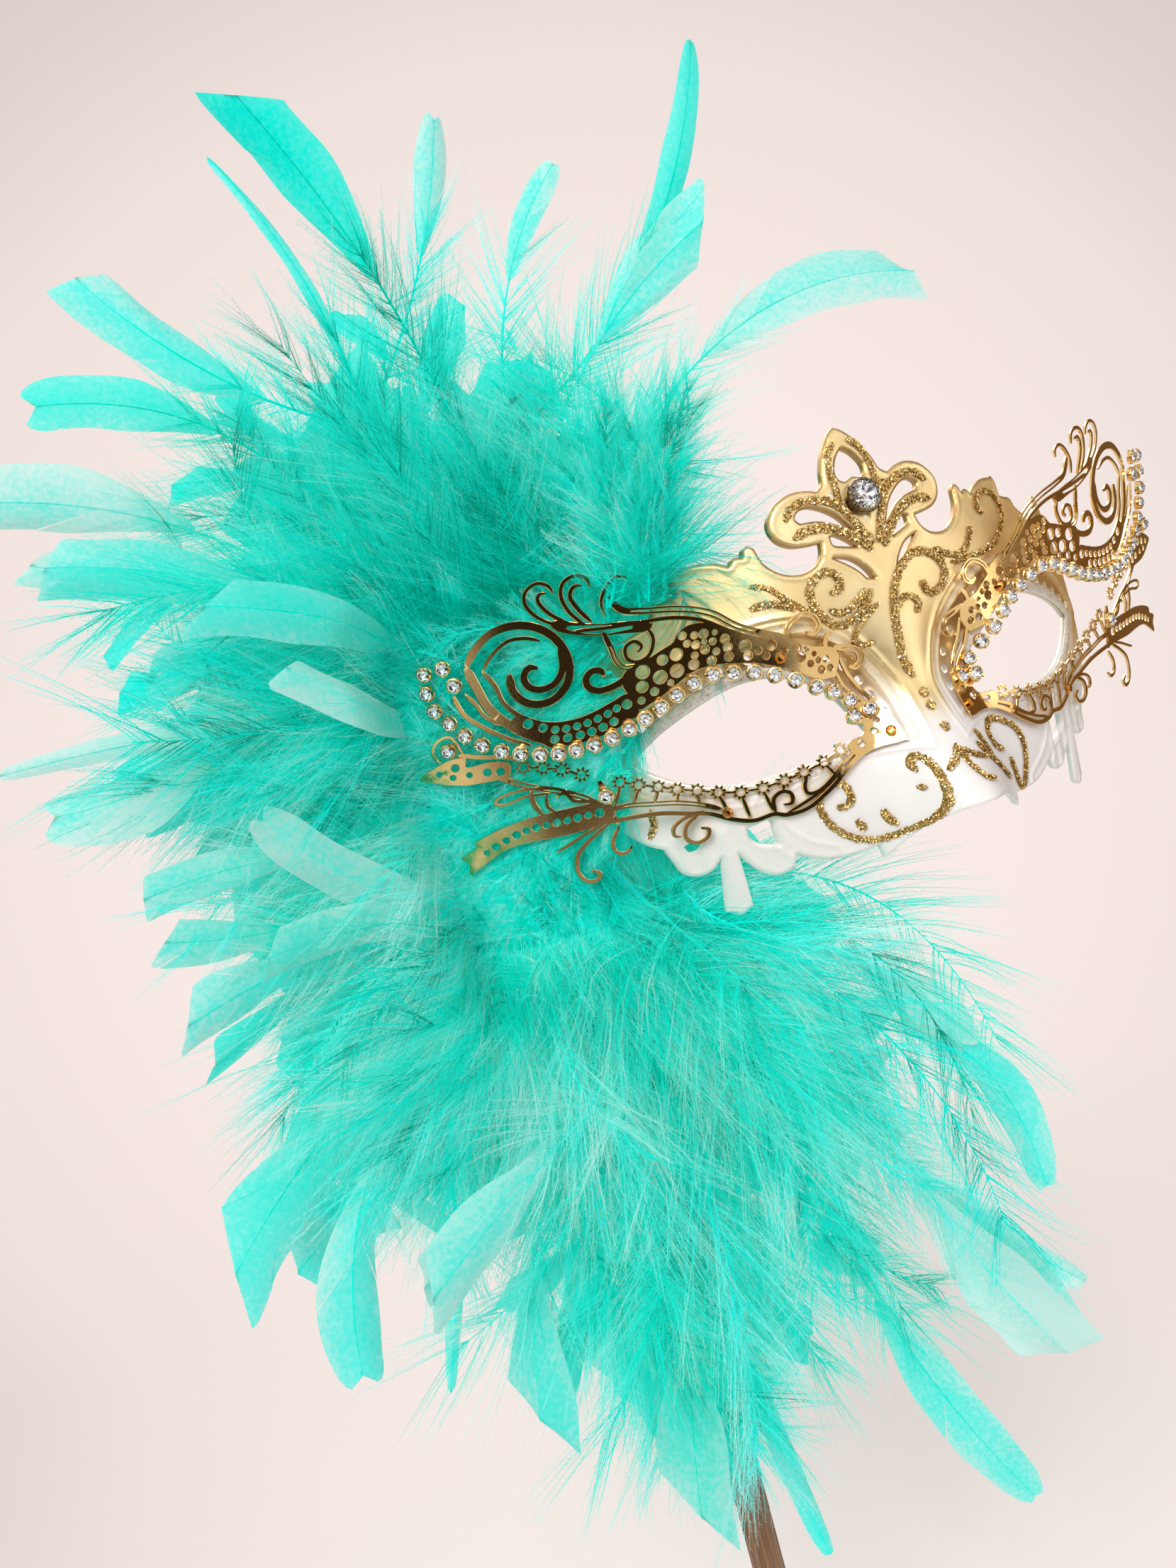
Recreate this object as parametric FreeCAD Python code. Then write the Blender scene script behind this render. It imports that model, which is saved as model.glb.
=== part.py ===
import FreeCAD, Part
import math
import os

# Venetian half mask on a stick.  Millimetres, +Z up along the stick,
# the mask looks toward -Y, the stick and the plume sit on the -X side.

V = FreeCAD.Vector

# driving dimensions
STICK_R = 4.0
END_R = 3.75
COLLAR = 3.0
STICK_LENGTH = 320.0
PLAIN_END = 30.0
FLUTES = 12
FLUTE_R = 0.7
LEAN = 3.2
ANCHOR = V(-74.3, 42.0, 10.0)
ANCHOR_HEIGHT = 290.0
SHELL_T = 2.0
METAL_T = 0.7
RELIEF = 0.7
CUP_R = 1.85
STONE_R = 1.42
GEM_R = 3.4
GEM_Z = 50.8
CORD_R = 3.0
LOBE_ROWS = 8
LOBE_SIDES = 16

os.makedirs("parts", exist_ok=True)


# ---------------------------------------------------------------- surfaces
def shell_front(x, z):
    """Depth of the front of the moulded face: brow, nose and eye sockets."""
    ramp = (7.4 - z) / 37.0
    ramp = 0.5 * (ramp + math.sqrt(ramp * ramp + 0.01))
    nose = 22.7 * ramp * math.exp(-(x / 12.6) ** 2)
    side = math.sqrt(x * x + 4.0)
    socket = 5.0 * math.exp(-((side - 13.0) / 8.0) ** 2 - ((z - 10.0) / 13.0) ** 2)
    return 0.0070 * x * x - 0.077 * z + 0.00196 * z * z - nose + socket


def metal_front(x, z):
    """Depth of the filigree: a flat bow that hugs the face near the nose."""
    bow = 5.9 + 0.00355 * x * x - 0.22 * z
    face = shell_front(x, z) - METAL_T - 0.9
    half = 0.5 * (bow - face)
    return 0.5 * (bow + face) - math.sqrt(half * half + 0.3) - 0.1


def grid_face(depth, x0, x1, nx, z0, z1, nz):
    rows = []
    for i in range(nx + 1):
        x = x0 + (x1 - x0) * i / nx
        row = []
        for j in range(nz + 1):
            z = z0 + (z1 - z0) * j / nz
            row.append(V(x, depth(x, z), z))
        rows.append(row)
    surface = Part.BSplineSurface()
    surface.interpolate(rows)
    return surface.toShape()


def sheet(depth, x0, x1, nx, z0, z1, nz, offset, thickness):
    face = grid_face(depth, x0, x1, nx, z0, z1, nz)
    face.translate(V(0, offset, 0))
    return face.extrude(V(0, thickness, 0))


# ---------------------------------------------------------------- 2-D helpers
def curve(points):
    if len(points) == 2:
        return Part.makeLine(points[0], points[1])
    spline = Part.BSplineCurve()
    spline.interpolate(points)
    return spline.toShape()


def closed_wire(runs):
    """Closed outline from runs of (x, z) points; corners fall between runs."""
    edges = []
    for run in runs:
        edges.append(curve([V(p[0], 0, p[1]) for p in run]))
    return Part.Wire(edges)


def mirror_runs(runs):
    return [[(-p[0], p[1]) for p in reversed(run)] for run in reversed(runs)]


def loop_wire(points, side):
    """Smooth closed loop with one corner at the first point."""
    pts = [(side * p[0], p[1]) for p in points]
    return closed_wire([pts + [pts[0]]])


def round_wire(x, z, radius):
    return Part.Wire(Part.makeCircle(radius, V(x, 0, z), V(0, -1, 0)))


def face_with_holes(outer, holes):
    return Part.makeFace([outer] + holes, "Part::FaceMakerBullseye")


def catmull(points, per_span):
    """Evenly refined points on a smooth curve through the given points."""
    out = []
    last = len(points) - 1
    for i in range(last):
        p0 = points[max(i - 1, 0)]
        p1 = points[i]
        p2 = points[i + 1]
        p3 = points[min(i + 2, last)]
        for k in range(per_span):
            t = k / per_span
            q = []
            for a in (0, 1):
                c1 = p2[a] - p0[a]
                c2 = 2 * p0[a] - 5 * p1[a] + 4 * p2[a] - p3[a]
                c3 = 3 * p1[a] - p0[a] - 3 * p2[a] + p3[a]
                q.append(0.5 * (2 * p1[a] + c1 * t + c2 * t * t + c3 * t ** 3))
            out.append((q[0], q[1]))
    out.append(points[last])
    return out


def stroke_face(points, width, side):
    """Ribbon of constant width with narrowed ends along a smooth path."""
    path = catmull([(side * p[0], p[1]) for p in points], 2)
    count = len(path)
    left = []
    right = []
    for i, p in enumerate(path):
        a = path[max(i - 1, 0)]
        b = path[min(i + 1, count - 1)]
        dx = b[0] - a[0]
        dz = b[1] - a[1]
        size = math.hypot(dx, dz)
        along = min(i, count - 1 - i) / 2.0
        half = 0.5 * width * min(1.0, 0.6 + 0.4 * along)
        nx = -dz / size * half
        nz = dx / size * half
        left.append(V(p[0] + nx, 0, p[1] + nz))
        right.append(V(p[0] - nx, 0, p[1] - nz))
    if len(points) == 2:
        return Part.Face(Part.makePolygon(left + right[::-1] + [left[0]]))
    ends = [Part.makeLine(left[-1], right[-1]), Part.makeLine(right[0], left[0])]
    return Part.Face(Part.Wire([curve(left), ends[0], curve(right[::-1]), ends[1]]))


def connected_groups(faces):
    """Sort faces into groups that share edges."""
    groups = []
    for face in faces:
        keys = set(edge.hashCode() for edge in face.Edges)
        members = [face]
        apart = []
        for group_keys, group in groups:
            if keys & group_keys:
                keys = keys | group_keys
                members = members + group
            else:
                apart.append((group_keys, group))
        groups = apart + [(keys, members)]
    return [group for keys, group in groups]


def merge(shapes):
    """Union of flat faces, one clean face for every connected patch."""
    if len(shapes) == 1:
        return shapes[0]
    fused = shapes[0].multiFuse(shapes[1:])
    patches = []
    for group in connected_groups(fused.Faces):
        patches.extend(Part.Shell(group).removeSplitter().Faces)
    return Part.makeCompound(patches)


def press(face, thin_sheet):
    """Cut a curved sheet to a front-view outline."""
    prism = face.extrude(V(0, 160, 0))
    prism.translate(V(0, -60, 0))
    return thin_sheet.common(prism)


# ---------------------------------------------------------------- placing
def place(shape):
    """Move a shape from the mask frame to the frame of the stick."""
    moved = shape.copy()
    moved.translate(ANCHOR.negative())
    moved.rotate(V(0, 0, 0), V(0, 1, 0), -LEAN)
    moved.translate(V(0, 0, ANCHOR_HEIGHT))
    return moved


def save(name, shape):
    solids = [s for s in shape.Solids if s.Volume > 0.02]
    result = solids[0] if len(solids) == 1 else Part.makeCompound(solids)
    result.exportStep("parts/" + name + ".step")
    box = result.BoundBox
    print(name, len(solids), result.isValid(), round(result.Volume, 1),
          [round(v, 1) for v in (box.XMin, box.XMax, box.YMin, box.YMax, box.ZMin, box.ZMax)])


# ---------------------------------------------------------------- mask outline
# half outline, middle of the crown down the side to the middle of the nose
HALF_OUTLINE = [
    [(0, 67.5), (2, 66.2), (4.8, 62.6), (6.6, 58.8), (7.3, 56.2), (9, 54.9)],
    [(9, 54.9), (11.8, 55.9), (15.2, 56.1), (19, 54.6), (21.6, 51), (21, 47.3),
     (18.3, 44.9), (14.8, 44.1), (12.2, 43.9)],
    [(12.2, 43.9), (12.9, 41.4), (15, 39.4), (18.5, 38.8), (22.2, 40.3), (24.8, 43.4), (25.7, 47.2)],
    [(25.7, 47.2), (26.9, 48.3), (28.2, 47.5), (28.6, 46.2)],
    [(28.6, 46.2), (30.3, 46.6), (31.8, 45.3)],
    [(31.8, 45.3), (34.2, 46.9), (38, 48), (41.6, 47.9)],
    [(41.6, 47.9), (42.7, 48.2), (43.5, 46.3), (43.3, 43.2)],
    [(43.3, 43.2), (45.5, 42.6), (48, 42), (49, 40)],
    [(49, 40), (52, 38), (56, 37), (60, 37.5), (63, 40)],
    [(63, 40), (64.5, 41.5), (66, 40)],
    [(66, 40), (67, 35), (69, 28), (70.5, 20), (71, 12), (70.3, 4), (67.5, -3), (63, -9), (59.5, -11.5)],
    [(59.5, -11.5), (58.3, -15), (57, -18.3), (54, -19.6), (51, -18.6), (49.2, -16.6)],
    [(49.2, -16.6), (50.8, -29.5)],
    [(50.8, -29.5), (48.1, -31), (45.4, -29.5)],
    [(45.4, -29.5), (45.8, -16.6)],
    [(45.8, -16.6), (44.4, -19.3), (42, -22.5), (38.8, -24), (36, -23), (34.8, -20.3)],
    [(34.8, -20.3), (32, -22.2), (28, -23.7), (23, -24), (18.4, -23.4)],
    [(18.4, -23.4), (18, -26.3)],
    [(18, -26.3), (16.6, -25.6), (13.5, -23), (9.5, -20.7), (5, -19.6), (0, -19.3)],
]
EYE_HOLE = [
    [(61, 9.7), (55, 14), (48, 17.2), (41, 19.4), (35, 20), (29, 18.8), (23, 15.5), (18, 11), (15, 6),
     (13.5, 1.5)],
    [(13.5, 1.5), (17, -0.3), (24, -1.3), (32, -1.6), (40, -1.5), (48, 0.3), (55, 4.2), (61, 9.7)],
]
TEARDROP = [
    [(0, 62.6), (2, 60.8), (3.4, 58), (3.2, 56), (2, 55.2)],
    [(2, 55.2), (0, 55.9)],
]
WEDGE = [(4.4, 51.8), (5.4, 54), (7.5, 53.3)]
LOBE_CRESCENT = [
    [(4.2, 44), (6.3, 47.8), (9, 50.4), (12, 52), (14.4, 51.9), (15.6, 50.6), (14.8, 49.3)],
    [(14.8, 49.3), (11.5, 48.8), (8.6, 47.6), (6.2, 45.8), (4.2, 44)],
]
LOWER_WEDGE = [
    [(4.6, 40.9), (6.5, 43), (8.6, 44.6), (9.7, 44.4)],
    [(9.7, 44.4), (9.5, 42.7), (7.5, 41.8), (4.6, 40.9)],
]
THIN_CRESCENT = [
    [(3, 33.2), (4.6, 36.3), (7.2, 38.8), (10.5, 40)],
    [(10.5, 40), (8.2, 38.1), (6.1, 36), (4.6, 33.8)],
    [(4.6, 33.8), (3, 33.2)],
]
OVALS = [(9.2, 5), (10, 9), (11.2, 12.8), (14, 17), (18, 20.5), (22.6, 23), (28, 24.3), (34, 24.6),
         (39.8, 23.9), (44.3, 22.7), (48.4, 21), (52.6, 19.1), (56.8, 17), (60.8, 14.7), (64.6, 12.2)]
OVAL_R = 1.1
PETAL_HOLES = [
    [[(43, -11.5), (38.4, -11), (37.9, -14), (37.5, -17)],
     [(37.5, -17), (41, -15.8), (43, -13.7), (43, -11.5)]],
    [[(56, -11.7), (53.6, -11.2), (51.6, -11.8)], [(51.6, -11.8), (53, -13.4), (55.2, -13.4), (56, -11.7)]],
]


def side_runs(runs, side):
    if side > 0:
        return runs
    return mirror_runs(runs)


def mask_shell():
    outer = closed_wire(HALF_OUTLINE + mirror_runs(HALF_OUTLINE))
    holes = [closed_wire(TEARDROP + mirror_runs(TEARDROP))]
    holes.append(Part.makePolygon([V(-1, 0, 46.9), V(1, 0, 46.9), V(0, 0, 44.8), V(-1, 0, 46.9)]))
    for side in (1, -1):
        for runs in [EYE_HOLE, LOBE_CRESCENT, LOWER_WEDGE, THIN_CRESCENT] + PETAL_HOLES:
            holes.append(closed_wire(side_runs(runs, side)))
        wedge = [V(side * p[0], 0, p[1]) for p in WEDGE]
        holes.append(Part.makePolygon(wedge + [wedge[0]]))
        for u, z in OVALS:
            holes.append(round_wire(side * u, z, OVAL_R))
    body = sheet(shell_front, -74, 74, 36, -34, 70, 26, 0, SHELL_T)
    return press(face_with_holes(outer, holes), body)


# ---------------------------------------------------------------- raised glitter
# each stroke: width, then (u, z) points with u = -x, so negative u lies on the +X side
CROWN_GLITTER = [
    (1.3, [(1.8, 64.2), (3.9, 62), (4.9, 58.5), (5, 55), (5.2, 51.4), (4.1, 47.4), (2.4, 44), (0.7, 40.3)]),
    (1.7, [(18, 50.8), (16, 52.9), (13, 53.6), (9.5, 53), (6.6, 51.2), (4.6, 48.4), (2.6, 44.4), (1, 41)]),
    (1.8, [(17.6, 46.5), (14.4, 47.4), (10.4, 46.8), (7, 45), (4, 42.3), (1.6, 39.3)]),
]
STEM_GLITTER = (1.6, [(0, 41), (0, 37), (0, 32.6)])
FOREHEAD_GLITTER = [
    (1.7, [(13.8, 33), (12, 33), (11.1, 34.6), (11.6, 36.5), (13.5, 37.7), (16, 37), (18, 34.8), (18, 31.4),
           (16.8, 28.4), (14.4, 26), (11.8, 25.5), (9, 26.6), (6.6, 28.8), (5, 31.2)]),
    (1.5, [(14.8, 29.6), (13.2, 28.2), (11, 28.2), (8.2, 29.8), (6, 31.4)]),
    (1.2, [(4.2, 27.8), (7.2, 26), (10, 23.6), (11, 21.3), (9.8, 20), (7, 20)]),
    (1.1, [(29.5, 39.8), (26, 38), (23.8, 35.3), (21.3, 32.4), (19.5, 30.6)]),
    (1.5, [(30.8, 35), (27.6, 35), (24.6, 33.8), (22, 32.2)]),
    (1.7, [(1, 10), (2, 14), (1.9, 18), (1.5, 22), (0.8, 26), (-0.5, 29.5), (-3, 33.2), (-7, 35.8),
           (-11, 35.6),
           (-14, 33.4), (-15.2, 30.5), (-13.8, 27.5), (-11, 26.2), (-8.7, 27.2), (-8.2, 29.6)]),
    (1.4, [(0.6, 25), (-2, 27.2), (-4.4, 26.9), (-5.7, 25), (-4.6, 23.2)]),
    (1.3, [(-14, 35.6), (-17, 33.6), (-20.5, 32.8), (-24, 34), (-27, 38)]),
    (1.3, [(-18, 31.4), (-24, 31.4), (-30, 31.8), (-35, 33.6), (-39.6, 37), (-41, 41), (-39.4, 44),
           (-36.4, 45),
           (-33, 44.2), (-31.6, 41.8), (-33, 40)]),
]
FACE_GLITTER = [
    (1.4, [(9.3, -9.2), (9.6, -7.2), (8.2, -6), (6.7, -8), (6, -12), (6.8, -16.8), (9.6, -19.8),
           (14, -21.3),
           (19, -21.9), (23.6, -19.8), (27, -16), (28.4, -11.4), (27.2, -8.2), (24.6, -7), (22.4, -8.2),
           (21.8, -11), (23, -12.8), (25, -12.3)]),
    (1.7, [(21.8, -16.4), (20.8, -19)]),
    (1.5, [(16.6, -15.6), (16.4, -17.4), (15.2, -19.6)]),
    (1.8, [(9.9, -12.2), (9.4, -13.3)]),
    (1.3, [(0.1, -6), (1.6, -8.2), (4.4, -10.8)]),
    (1.2, [(0.4, -6.8), (-2.4, -9), (-6.2, -10.8)]),
    (1.2, [(0.2, -7.4), (-0.4, -11), (-2.4, -14.2), (-5, -15.4)]),
    (1.3, [(-5.6, -7.4), (-8, -11), (-12, -14.8), (-16, -19)]),
    (1.2, [(-7.4, -5), (-8.6, -8), (-9.6, -11.4)]),
    (1.4, [(-16.6, -12.4), (-13.6, -10.5), (-12.8, -7.2), (-15.4, -4.8), (-19, -6), (-23, -9), (-25, -13),
           (-24.4, -18), (-22, -22.6), (-20, -22), (-19.4, -19), (-18.6, -15)]),
    (1.1, [(60.4, -1.4), (60.4, -5), (62, -8)]),
]
DOTS = [(-0.2, 6.2), (-0.3, 3.2), (-0.2, -1.8)]
DOT_R = 1.1


def glitter_sheet():
    return sheet(shell_front, -74, 74, 36, -34, 70, 26, -RELIEF, RELIEF)


def glitter(strokes, both_sides, extra):
    faces = list(extra)
    for width, points in strokes:
        faces.append(stroke_face(points, width, -1))
        if both_sides:
            faces.append(stroke_face(points, width, 1))
    return press(merge(faces), glitter_sheet())


def crown_glitter():
    """Scrolls of the crown, kept clear of the setting of the crown gem."""
    stem = stroke_face(STEM_GLITTER[1], STEM_GLITTER[0], 1)
    room = on_crown([(0, -3), (GEM_R + 0.8, -3), (GEM_R + 0.8, 3), (0, 3)])
    return glitter(CROWN_GLITTER, True, [stem]).cut(room)


def eye_rim(side):
    """Raised pearl band that follows the edge of the eye hole."""
    outline = catmull(EYE_HOLE[0], 2) + catmull(EYE_HOLE[1], 2)[1:-1]
    count = len(outline)
    inner = []
    outer = []
    for i, p in enumerate(outline):
        a = outline[i - 1]
        b = outline[(i + 1) % count]
        size = math.hypot(b[0] - a[0], b[1] - a[1])
        nx = (b[1] - a[1]) / size
        nz = -(b[0] - a[0]) / size
        inner.append((p[0] + 0.5 * nx, p[1] + 0.5 * nz))
        outer.append((p[0] + 2.6 * nx, p[1] + 2.6 * nz))
    wires = []
    for ring in (outer, inner):
        pts = [V(side * p[0], 0, p[1]) for p in ring]
        wires.append(Part.makePolygon(pts + [pts[0]]))
    return press(face_with_holes(wires[0], [wires[1]]), glitter_sheet())


# ---------------------------------------------------------------- filigree
RIBBONS = [
    (1.8, [(26.5, 27), (31, 29.3), (36, 32.5), (40, 36.2), (43.5, 38.3), (48, 40), (54, 41.6),
           (58, 43.2), (60.2, 46.8)]),
    (1.1, [(27.5, 25.8), (33, 28.8), (38, 32.2), (43, 36), (49, 38.4), (56, 39.6), (62, 40.6), (68, 42)]),
    (1.5, [(26.8, 25), (25.4, 28.6), (22.2, 30.4), (19.6, 29.4), (18.9, 27.2), (20.4, 25.8), (22.2, 26.6)]),
    (1.2, [(18.2, 20.5), (18.4, 23), (17.4, 24.8), (16.4, 24.4)]),
    (1.8, [(16.8, 21.6), (14, 20.6), (11.6, 19.6), (10.9, 17.6), (12.2, 16), (14, 16.6)]),
    (1.0, [(15.6, 19), (14.6, 15.6), (12.6, 11.6), (10.4, 7.6), (9, 3.6), (8.4, -1.4)]),
    (0.9, [(17.4, 17), (16, 13), (13.4, 9.6), (11, 5.6), (10.2, 1)]),
    (3.2, [(53, 38), (58, 39.4), (63, 40.6), (68, 42.6), (72, 45)]),
    (1.0, [(69.6, 43.4), (74, 46.8), (76, 50.4), (75.4, 53), (73, 54), (70.9, 52.8), (70.2, 51)]),
    (1.1, [(68.8, 44), (71.8, 47), (73.4, 50), (73, 51.6), (71.6, 51.5)]),
    (1.1, [(65.6, 42.4), (68, 46), (68.9, 49.6), (68, 52.2), (65.6, 53), (63.4, 51.8), (63, 49.6)]),
    (1.2, [(64.2, 42.6), (66.2, 46), (67.2, 49), (66.2, 50.8), (64.4, 50.6)]),
    (1.0, [(61.4, 43), (61.6, 46), (59.8, 48.8), (57.4, 50), (55.6, 49), (55.6, 47.4)]),
    (1.5, [(62.6, 40), (61.8, 36), (61.4, 33.2), (59.8, 31.2), (56, 30.9), (51, 32.2), (47.6, 32.8)]),
    (1.1, [(54, 38), (53.2, 35.4), (54.6, 32.4), (57.2, 31.6), (59.2, 33), (59, 35.4), (57, 36),
           (55.8, 34.6), (56.8, 33.6)]),
    (1.9, [(59, 29.6), (62.6, 28.3), (66, 28.2), (68, 29.6), (68.1, 31.6), (66.6, 32.7), (64.9, 32.2),
           (64.4, 30.8)]),
    (2.4, [(90.6, 42), (89.6, 37), (88.6, 32.6), (86, 28), (82, 23.6), (77.6, 20.4)]),
    (2.2, [(90.4, 42), (88.4, 44.6), (84.6, 47), (80.4, 47.4), (76.2, 46), (72.8, 43), (70.9, 39),
           (70.7, 35), (72, 31.8), (75, 29.6), (78.4, 29.4), (81.2, 31), (82.8, 34), (82.6, 37.8)]),
    (1.9, [(71.6, 40), (72, 35.6), (74, 32.9), (77, 32.3), (79.4, 33.6), (80, 36), (78.6, 37.6),
           (76.8, 37)]),
    (1.3, [(87.6, 40), (85.9, 36), (85.2, 32), (82.4, 27.8), (79, 25.4)]),
    (1.1, [(87.6, 40), (85.4, 42.4), (81.6, 44.4), (78, 44), (75, 42.4)]),
    (1.2, [(94.6, 37), (93.6, 32.4), (90.6, 28.4), (86, 24), (82, 21.2)]),
    (1.1, [(92.2, 36.6), (90.6, 33.4), (89.6, 30.6), (87, 27.6)]),
    (1.4, [(97, 24), (93, 22.2), (88, 20.4), (84, 18.4)]),
    (1.5, [(71, 2), (66, 1.7), (61, 0.4), (56, -1), (51, -3.2), (47.4, -5.4)]),
    (1.3, [(72, -0.6), (66, -1.2), (60, -2.2), (54, -4.2), (50, -5.6), (46, -8.2), (42, -9.8),
           (38, -9.6), (35.4, -10.6),
           (31, -10.4), (26, -7.8), (22, -5), (18, -2.6), (13.6, -1.7), (8.8, -2)]),
    (1.0, [(35.4, -10.2), (30, -8.4), (26, -6.2), (22, -3.2), (18.6, -1.6)]),
    (1.2, [(37.6, -9.6), (37.4, -6.4), (35.4, -5.2), (33.8, -6.2), (34, -8.2), (35.6, -8.2)]),
    (1.1, [(22, -4), (27, -7), (30.2, -7.4), (30.8, -5.6), (29.6, -3)]),
    (1.0, [(51, -4.6), (55, -4.8), (57.8, -6.2), (58.2, -8.2), (56.8, -8.8)]),
    (1.2, [(52, -4.8), (55.2, -6.6), (56, -9.4), (54.2, -11.2), (51.8, -10.8), (51, -9), (52.4, -8.2)]),
    (2.0, [(70.6, 9), (70.2, 5), (70, 1), (69, -1.6)]),
    (1.7, [(70.4, 2), (74, 6), (79, 9.4), (85, 12.6), (91, 17)]),
    (0.9, [(76, 7.6), (80, 10.4), (86, 12), (91, 11.9), (92.4, 10.8), (90.4, 9.9), (86, 10.4), (81, 9.6)]),
    (1.5, [(84.6, 11.4), (84.8, 8.4), (83.6, 5.2)]),
    (1.0, [(81.6, 9.6), (82.2, 7), (80.6, 4.6)]),
    (1.1, [(72, 5), (76.4, 6.2), (78, 8.8), (80, 8.2)]),
    (1.2, [(71, -1), (75, -3.2), (78.6, -6), (79.6, -9.6), (78.6, -12.4), (76.4, -13.2), (75.2, -11.8),
           (76.8, -10.6)]),
    (0.9, [(71.6, -0.6), (76, -1.8), (80.4, -3.4), (83, -4.2)]),
    (1.1, [(69, -2.4), (71, -5.4), (70.8, -8), (68.8, -8.8), (67.4, -7.6)]),
    (0.9, [(96, 24), (97.6, 28.4), (100.6, 28.2), (102, 26), (101, 23.4)]),
]
BROW_LATTICE = [(17.6, 15.2), (15.8, 19), (17, 21.8), (21.4, 23.4), (26, 26.4), (31, 28.4), (36, 31),
                (41, 34.6),
                (45, 35.8), (48, 35), (50, 33), (55, 31.6), (60, 30.6), (61.4, 28), (60.6, 25),
                (59.6, 21.6),
                (55, 22.6), (51, 24.2), (47, 25.8), (43, 26), (38.4, 25), (34, 23.6), (30, 21.6),
                (26, 19), (22, 16)]
LATTICE_HOLES = [(24.7, 24, 0.9), (22.9, 23, 0.6), (24.4, 21.8, 1.0), (21.4, 21.6, 0.5), (22.7, 19.8, 0.7),
                 (20.8, 20, 0.6), (19, 19.8, 0.7), (20.6, 17.8, 0.8), (18.4, 17.6, 0.7), (32.7, 26, 0.8),
                 (29.8, 26.2, 1.0), (31.3, 24.3, 0.7), (27.4, 24.2, 0.7), (39, 30.6, 0.9),
                 (38.8, 28.7, 0.9),
                 (41.3, 28.6, 0.7), (41.6, 30.9, 0.7), (40.8, 32.6, 0.5), (43.5, 29.8, 0.9),
                 (43.1, 33, 0.9),
                 (43.3, 31.4, 0.5), (45.1, 31.3, 0.8), (45.8, 29.2, 0.7), (45, 33.3, 0.7),
                 (46.8, 32.1, 0.7),
                 (47.4, 34, 0.8), (35.2, 27.8, 1.2), (35, 25.6, 0.9), (39, 26.7, 0.9), (42.6, 27, 0.9),
                 (46.4, 27.4, 1.0), (49.4, 30.6, 1.2), (52.4, 30.4, 1.0), (50, 27.2, 1.3), (53.6, 27, 1.3),
                 (56.8, 29.2, 1.3), (57.6, 26.2, 1.1), (55.4, 24.4, 0.8), (58.4, 23.4, 0.7),
                 (51.8, 25.2, 0.6)]
WING_BAND = [(59, 20.6), (60.6, 25.6), (64, 25.2), (68, 24.3), (72, 24), (76, 24.6), (80, 26.4), (83, 28.6),
             (85, 26.8), (81, 22.6), (78.4, 19.4), (74, 18.6), (69, 18.4), (64, 19.2)]
BAND_HOLES = [(61.4, 23.6, 0.9), (63.6, 23.4, 0.7), (65.6, 22.9, 0.7), (67.8, 22.5, 0.7), (70, 22.3, 0.7),
              (72.2, 22.3, 0.7), (74.4, 22.5, 0.7), (76.6, 23, 0.7), (78.9, 24.2, 0.8), (81.6, 26, 0.9),
              (64.8, 20.8, 0.8), (67.2, 20.4, 0.8), (69.6, 20.2, 0.8), (72, 20.2, 0.8), (74.6, 20.5, 0.8),
              (77.2, 21, 0.8)]
FISHTAIL = [(69.6, -0.8), (80, -0.9), (88, -0.2), (93, -0.4), (97, -2), (101.6, -4), (101.2, -1.4),
            (102.6, 0.6),
            (99, 1.8), (98.4, 3.4), (93, 4.8), (87, 5.4), (80, 5.2), (74, 4.8), (70, 4.4)]
FISHTAIL_HOLES = [(72.2, 2, 0.9), (74.6, 2.2, 0.7), (76.8, 2.3, 0.8), (79, 2.4, 0.7), (81.2, 2.6, 0.8),
                  (83.4, 2.7, 0.7),
                  (85.6, 2.8, 0.8), (87.8, 2.7, 0.7), (90, 2.4, 0.8), (92.4, 1.8, 0.7), (94.8, 1, 0.8),
                  (97, 0.2, 0.6)]
LEAF = [(88, 15.6), (87.4, 18.8), (91, 20.4), (96, 20.8), (95.8, 23), (100, 23.4), (106, 21.4),
        (103.4, 19.4), (98, 17),
        (92, 16)]
LEAF_HOLES = [(92.3, 18.3, 0.8), (96, 18.9, 0.6), (98.4, 21.4, 0.8), (99.4, 19.4, 0.6), (89.6, 17.6, 0.8),
              (102, 21, 0.6)]
INNER_PLATE = [(8.2, -2.4), (8.6, 2.4), (10, 6.4), (12.6, 8.2), (16.4, 7.2), (17.6, 4.6), (14.6, 3.6),
               (15.4, 1.4),
               (19.4, 0.6), (18.6, -2.4), (13.4, -1.4)]
INNER_HOLES = [(13, 1.4, 0.7), (11.6, 3.6, 0.6), (16.6, -0.4, 0.8)]
STARS = [(21.6, -0.1), (25.7, -1.6), (30.2, -2.4), (34.4, -3), (38.8, -3.2), (43.2, -2.8), (47.4, -1.4),
         (51.5, 0.4),
         (55.5, 2), (59.2, 3.8), (63, 5.6), (66.6, 7.4)]
UPPER_STARS = [(73.8, 11.6), (77.4, 14), (81, 15.6), (84.8, 17)]
STAR_R = 1.75
STAR_HOLE = 0.85


def star_wire(x, z, turn):
    pts = []
    for k in range(20):
        r = STAR_R if k % 2 else 0.78 * STAR_R
        a = turn + math.pi * k / 10.0
        pts.append(V(x + r * math.cos(a), 0, z + r * math.sin(a)))
    return Part.makePolygon(pts + [pts[0]])


def plate_face(points, holes, side):
    outer = loop_wire(points, side)
    return face_with_holes(outer, [round_wire(side * h[0], h[1], h[2]) for h in holes])


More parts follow.
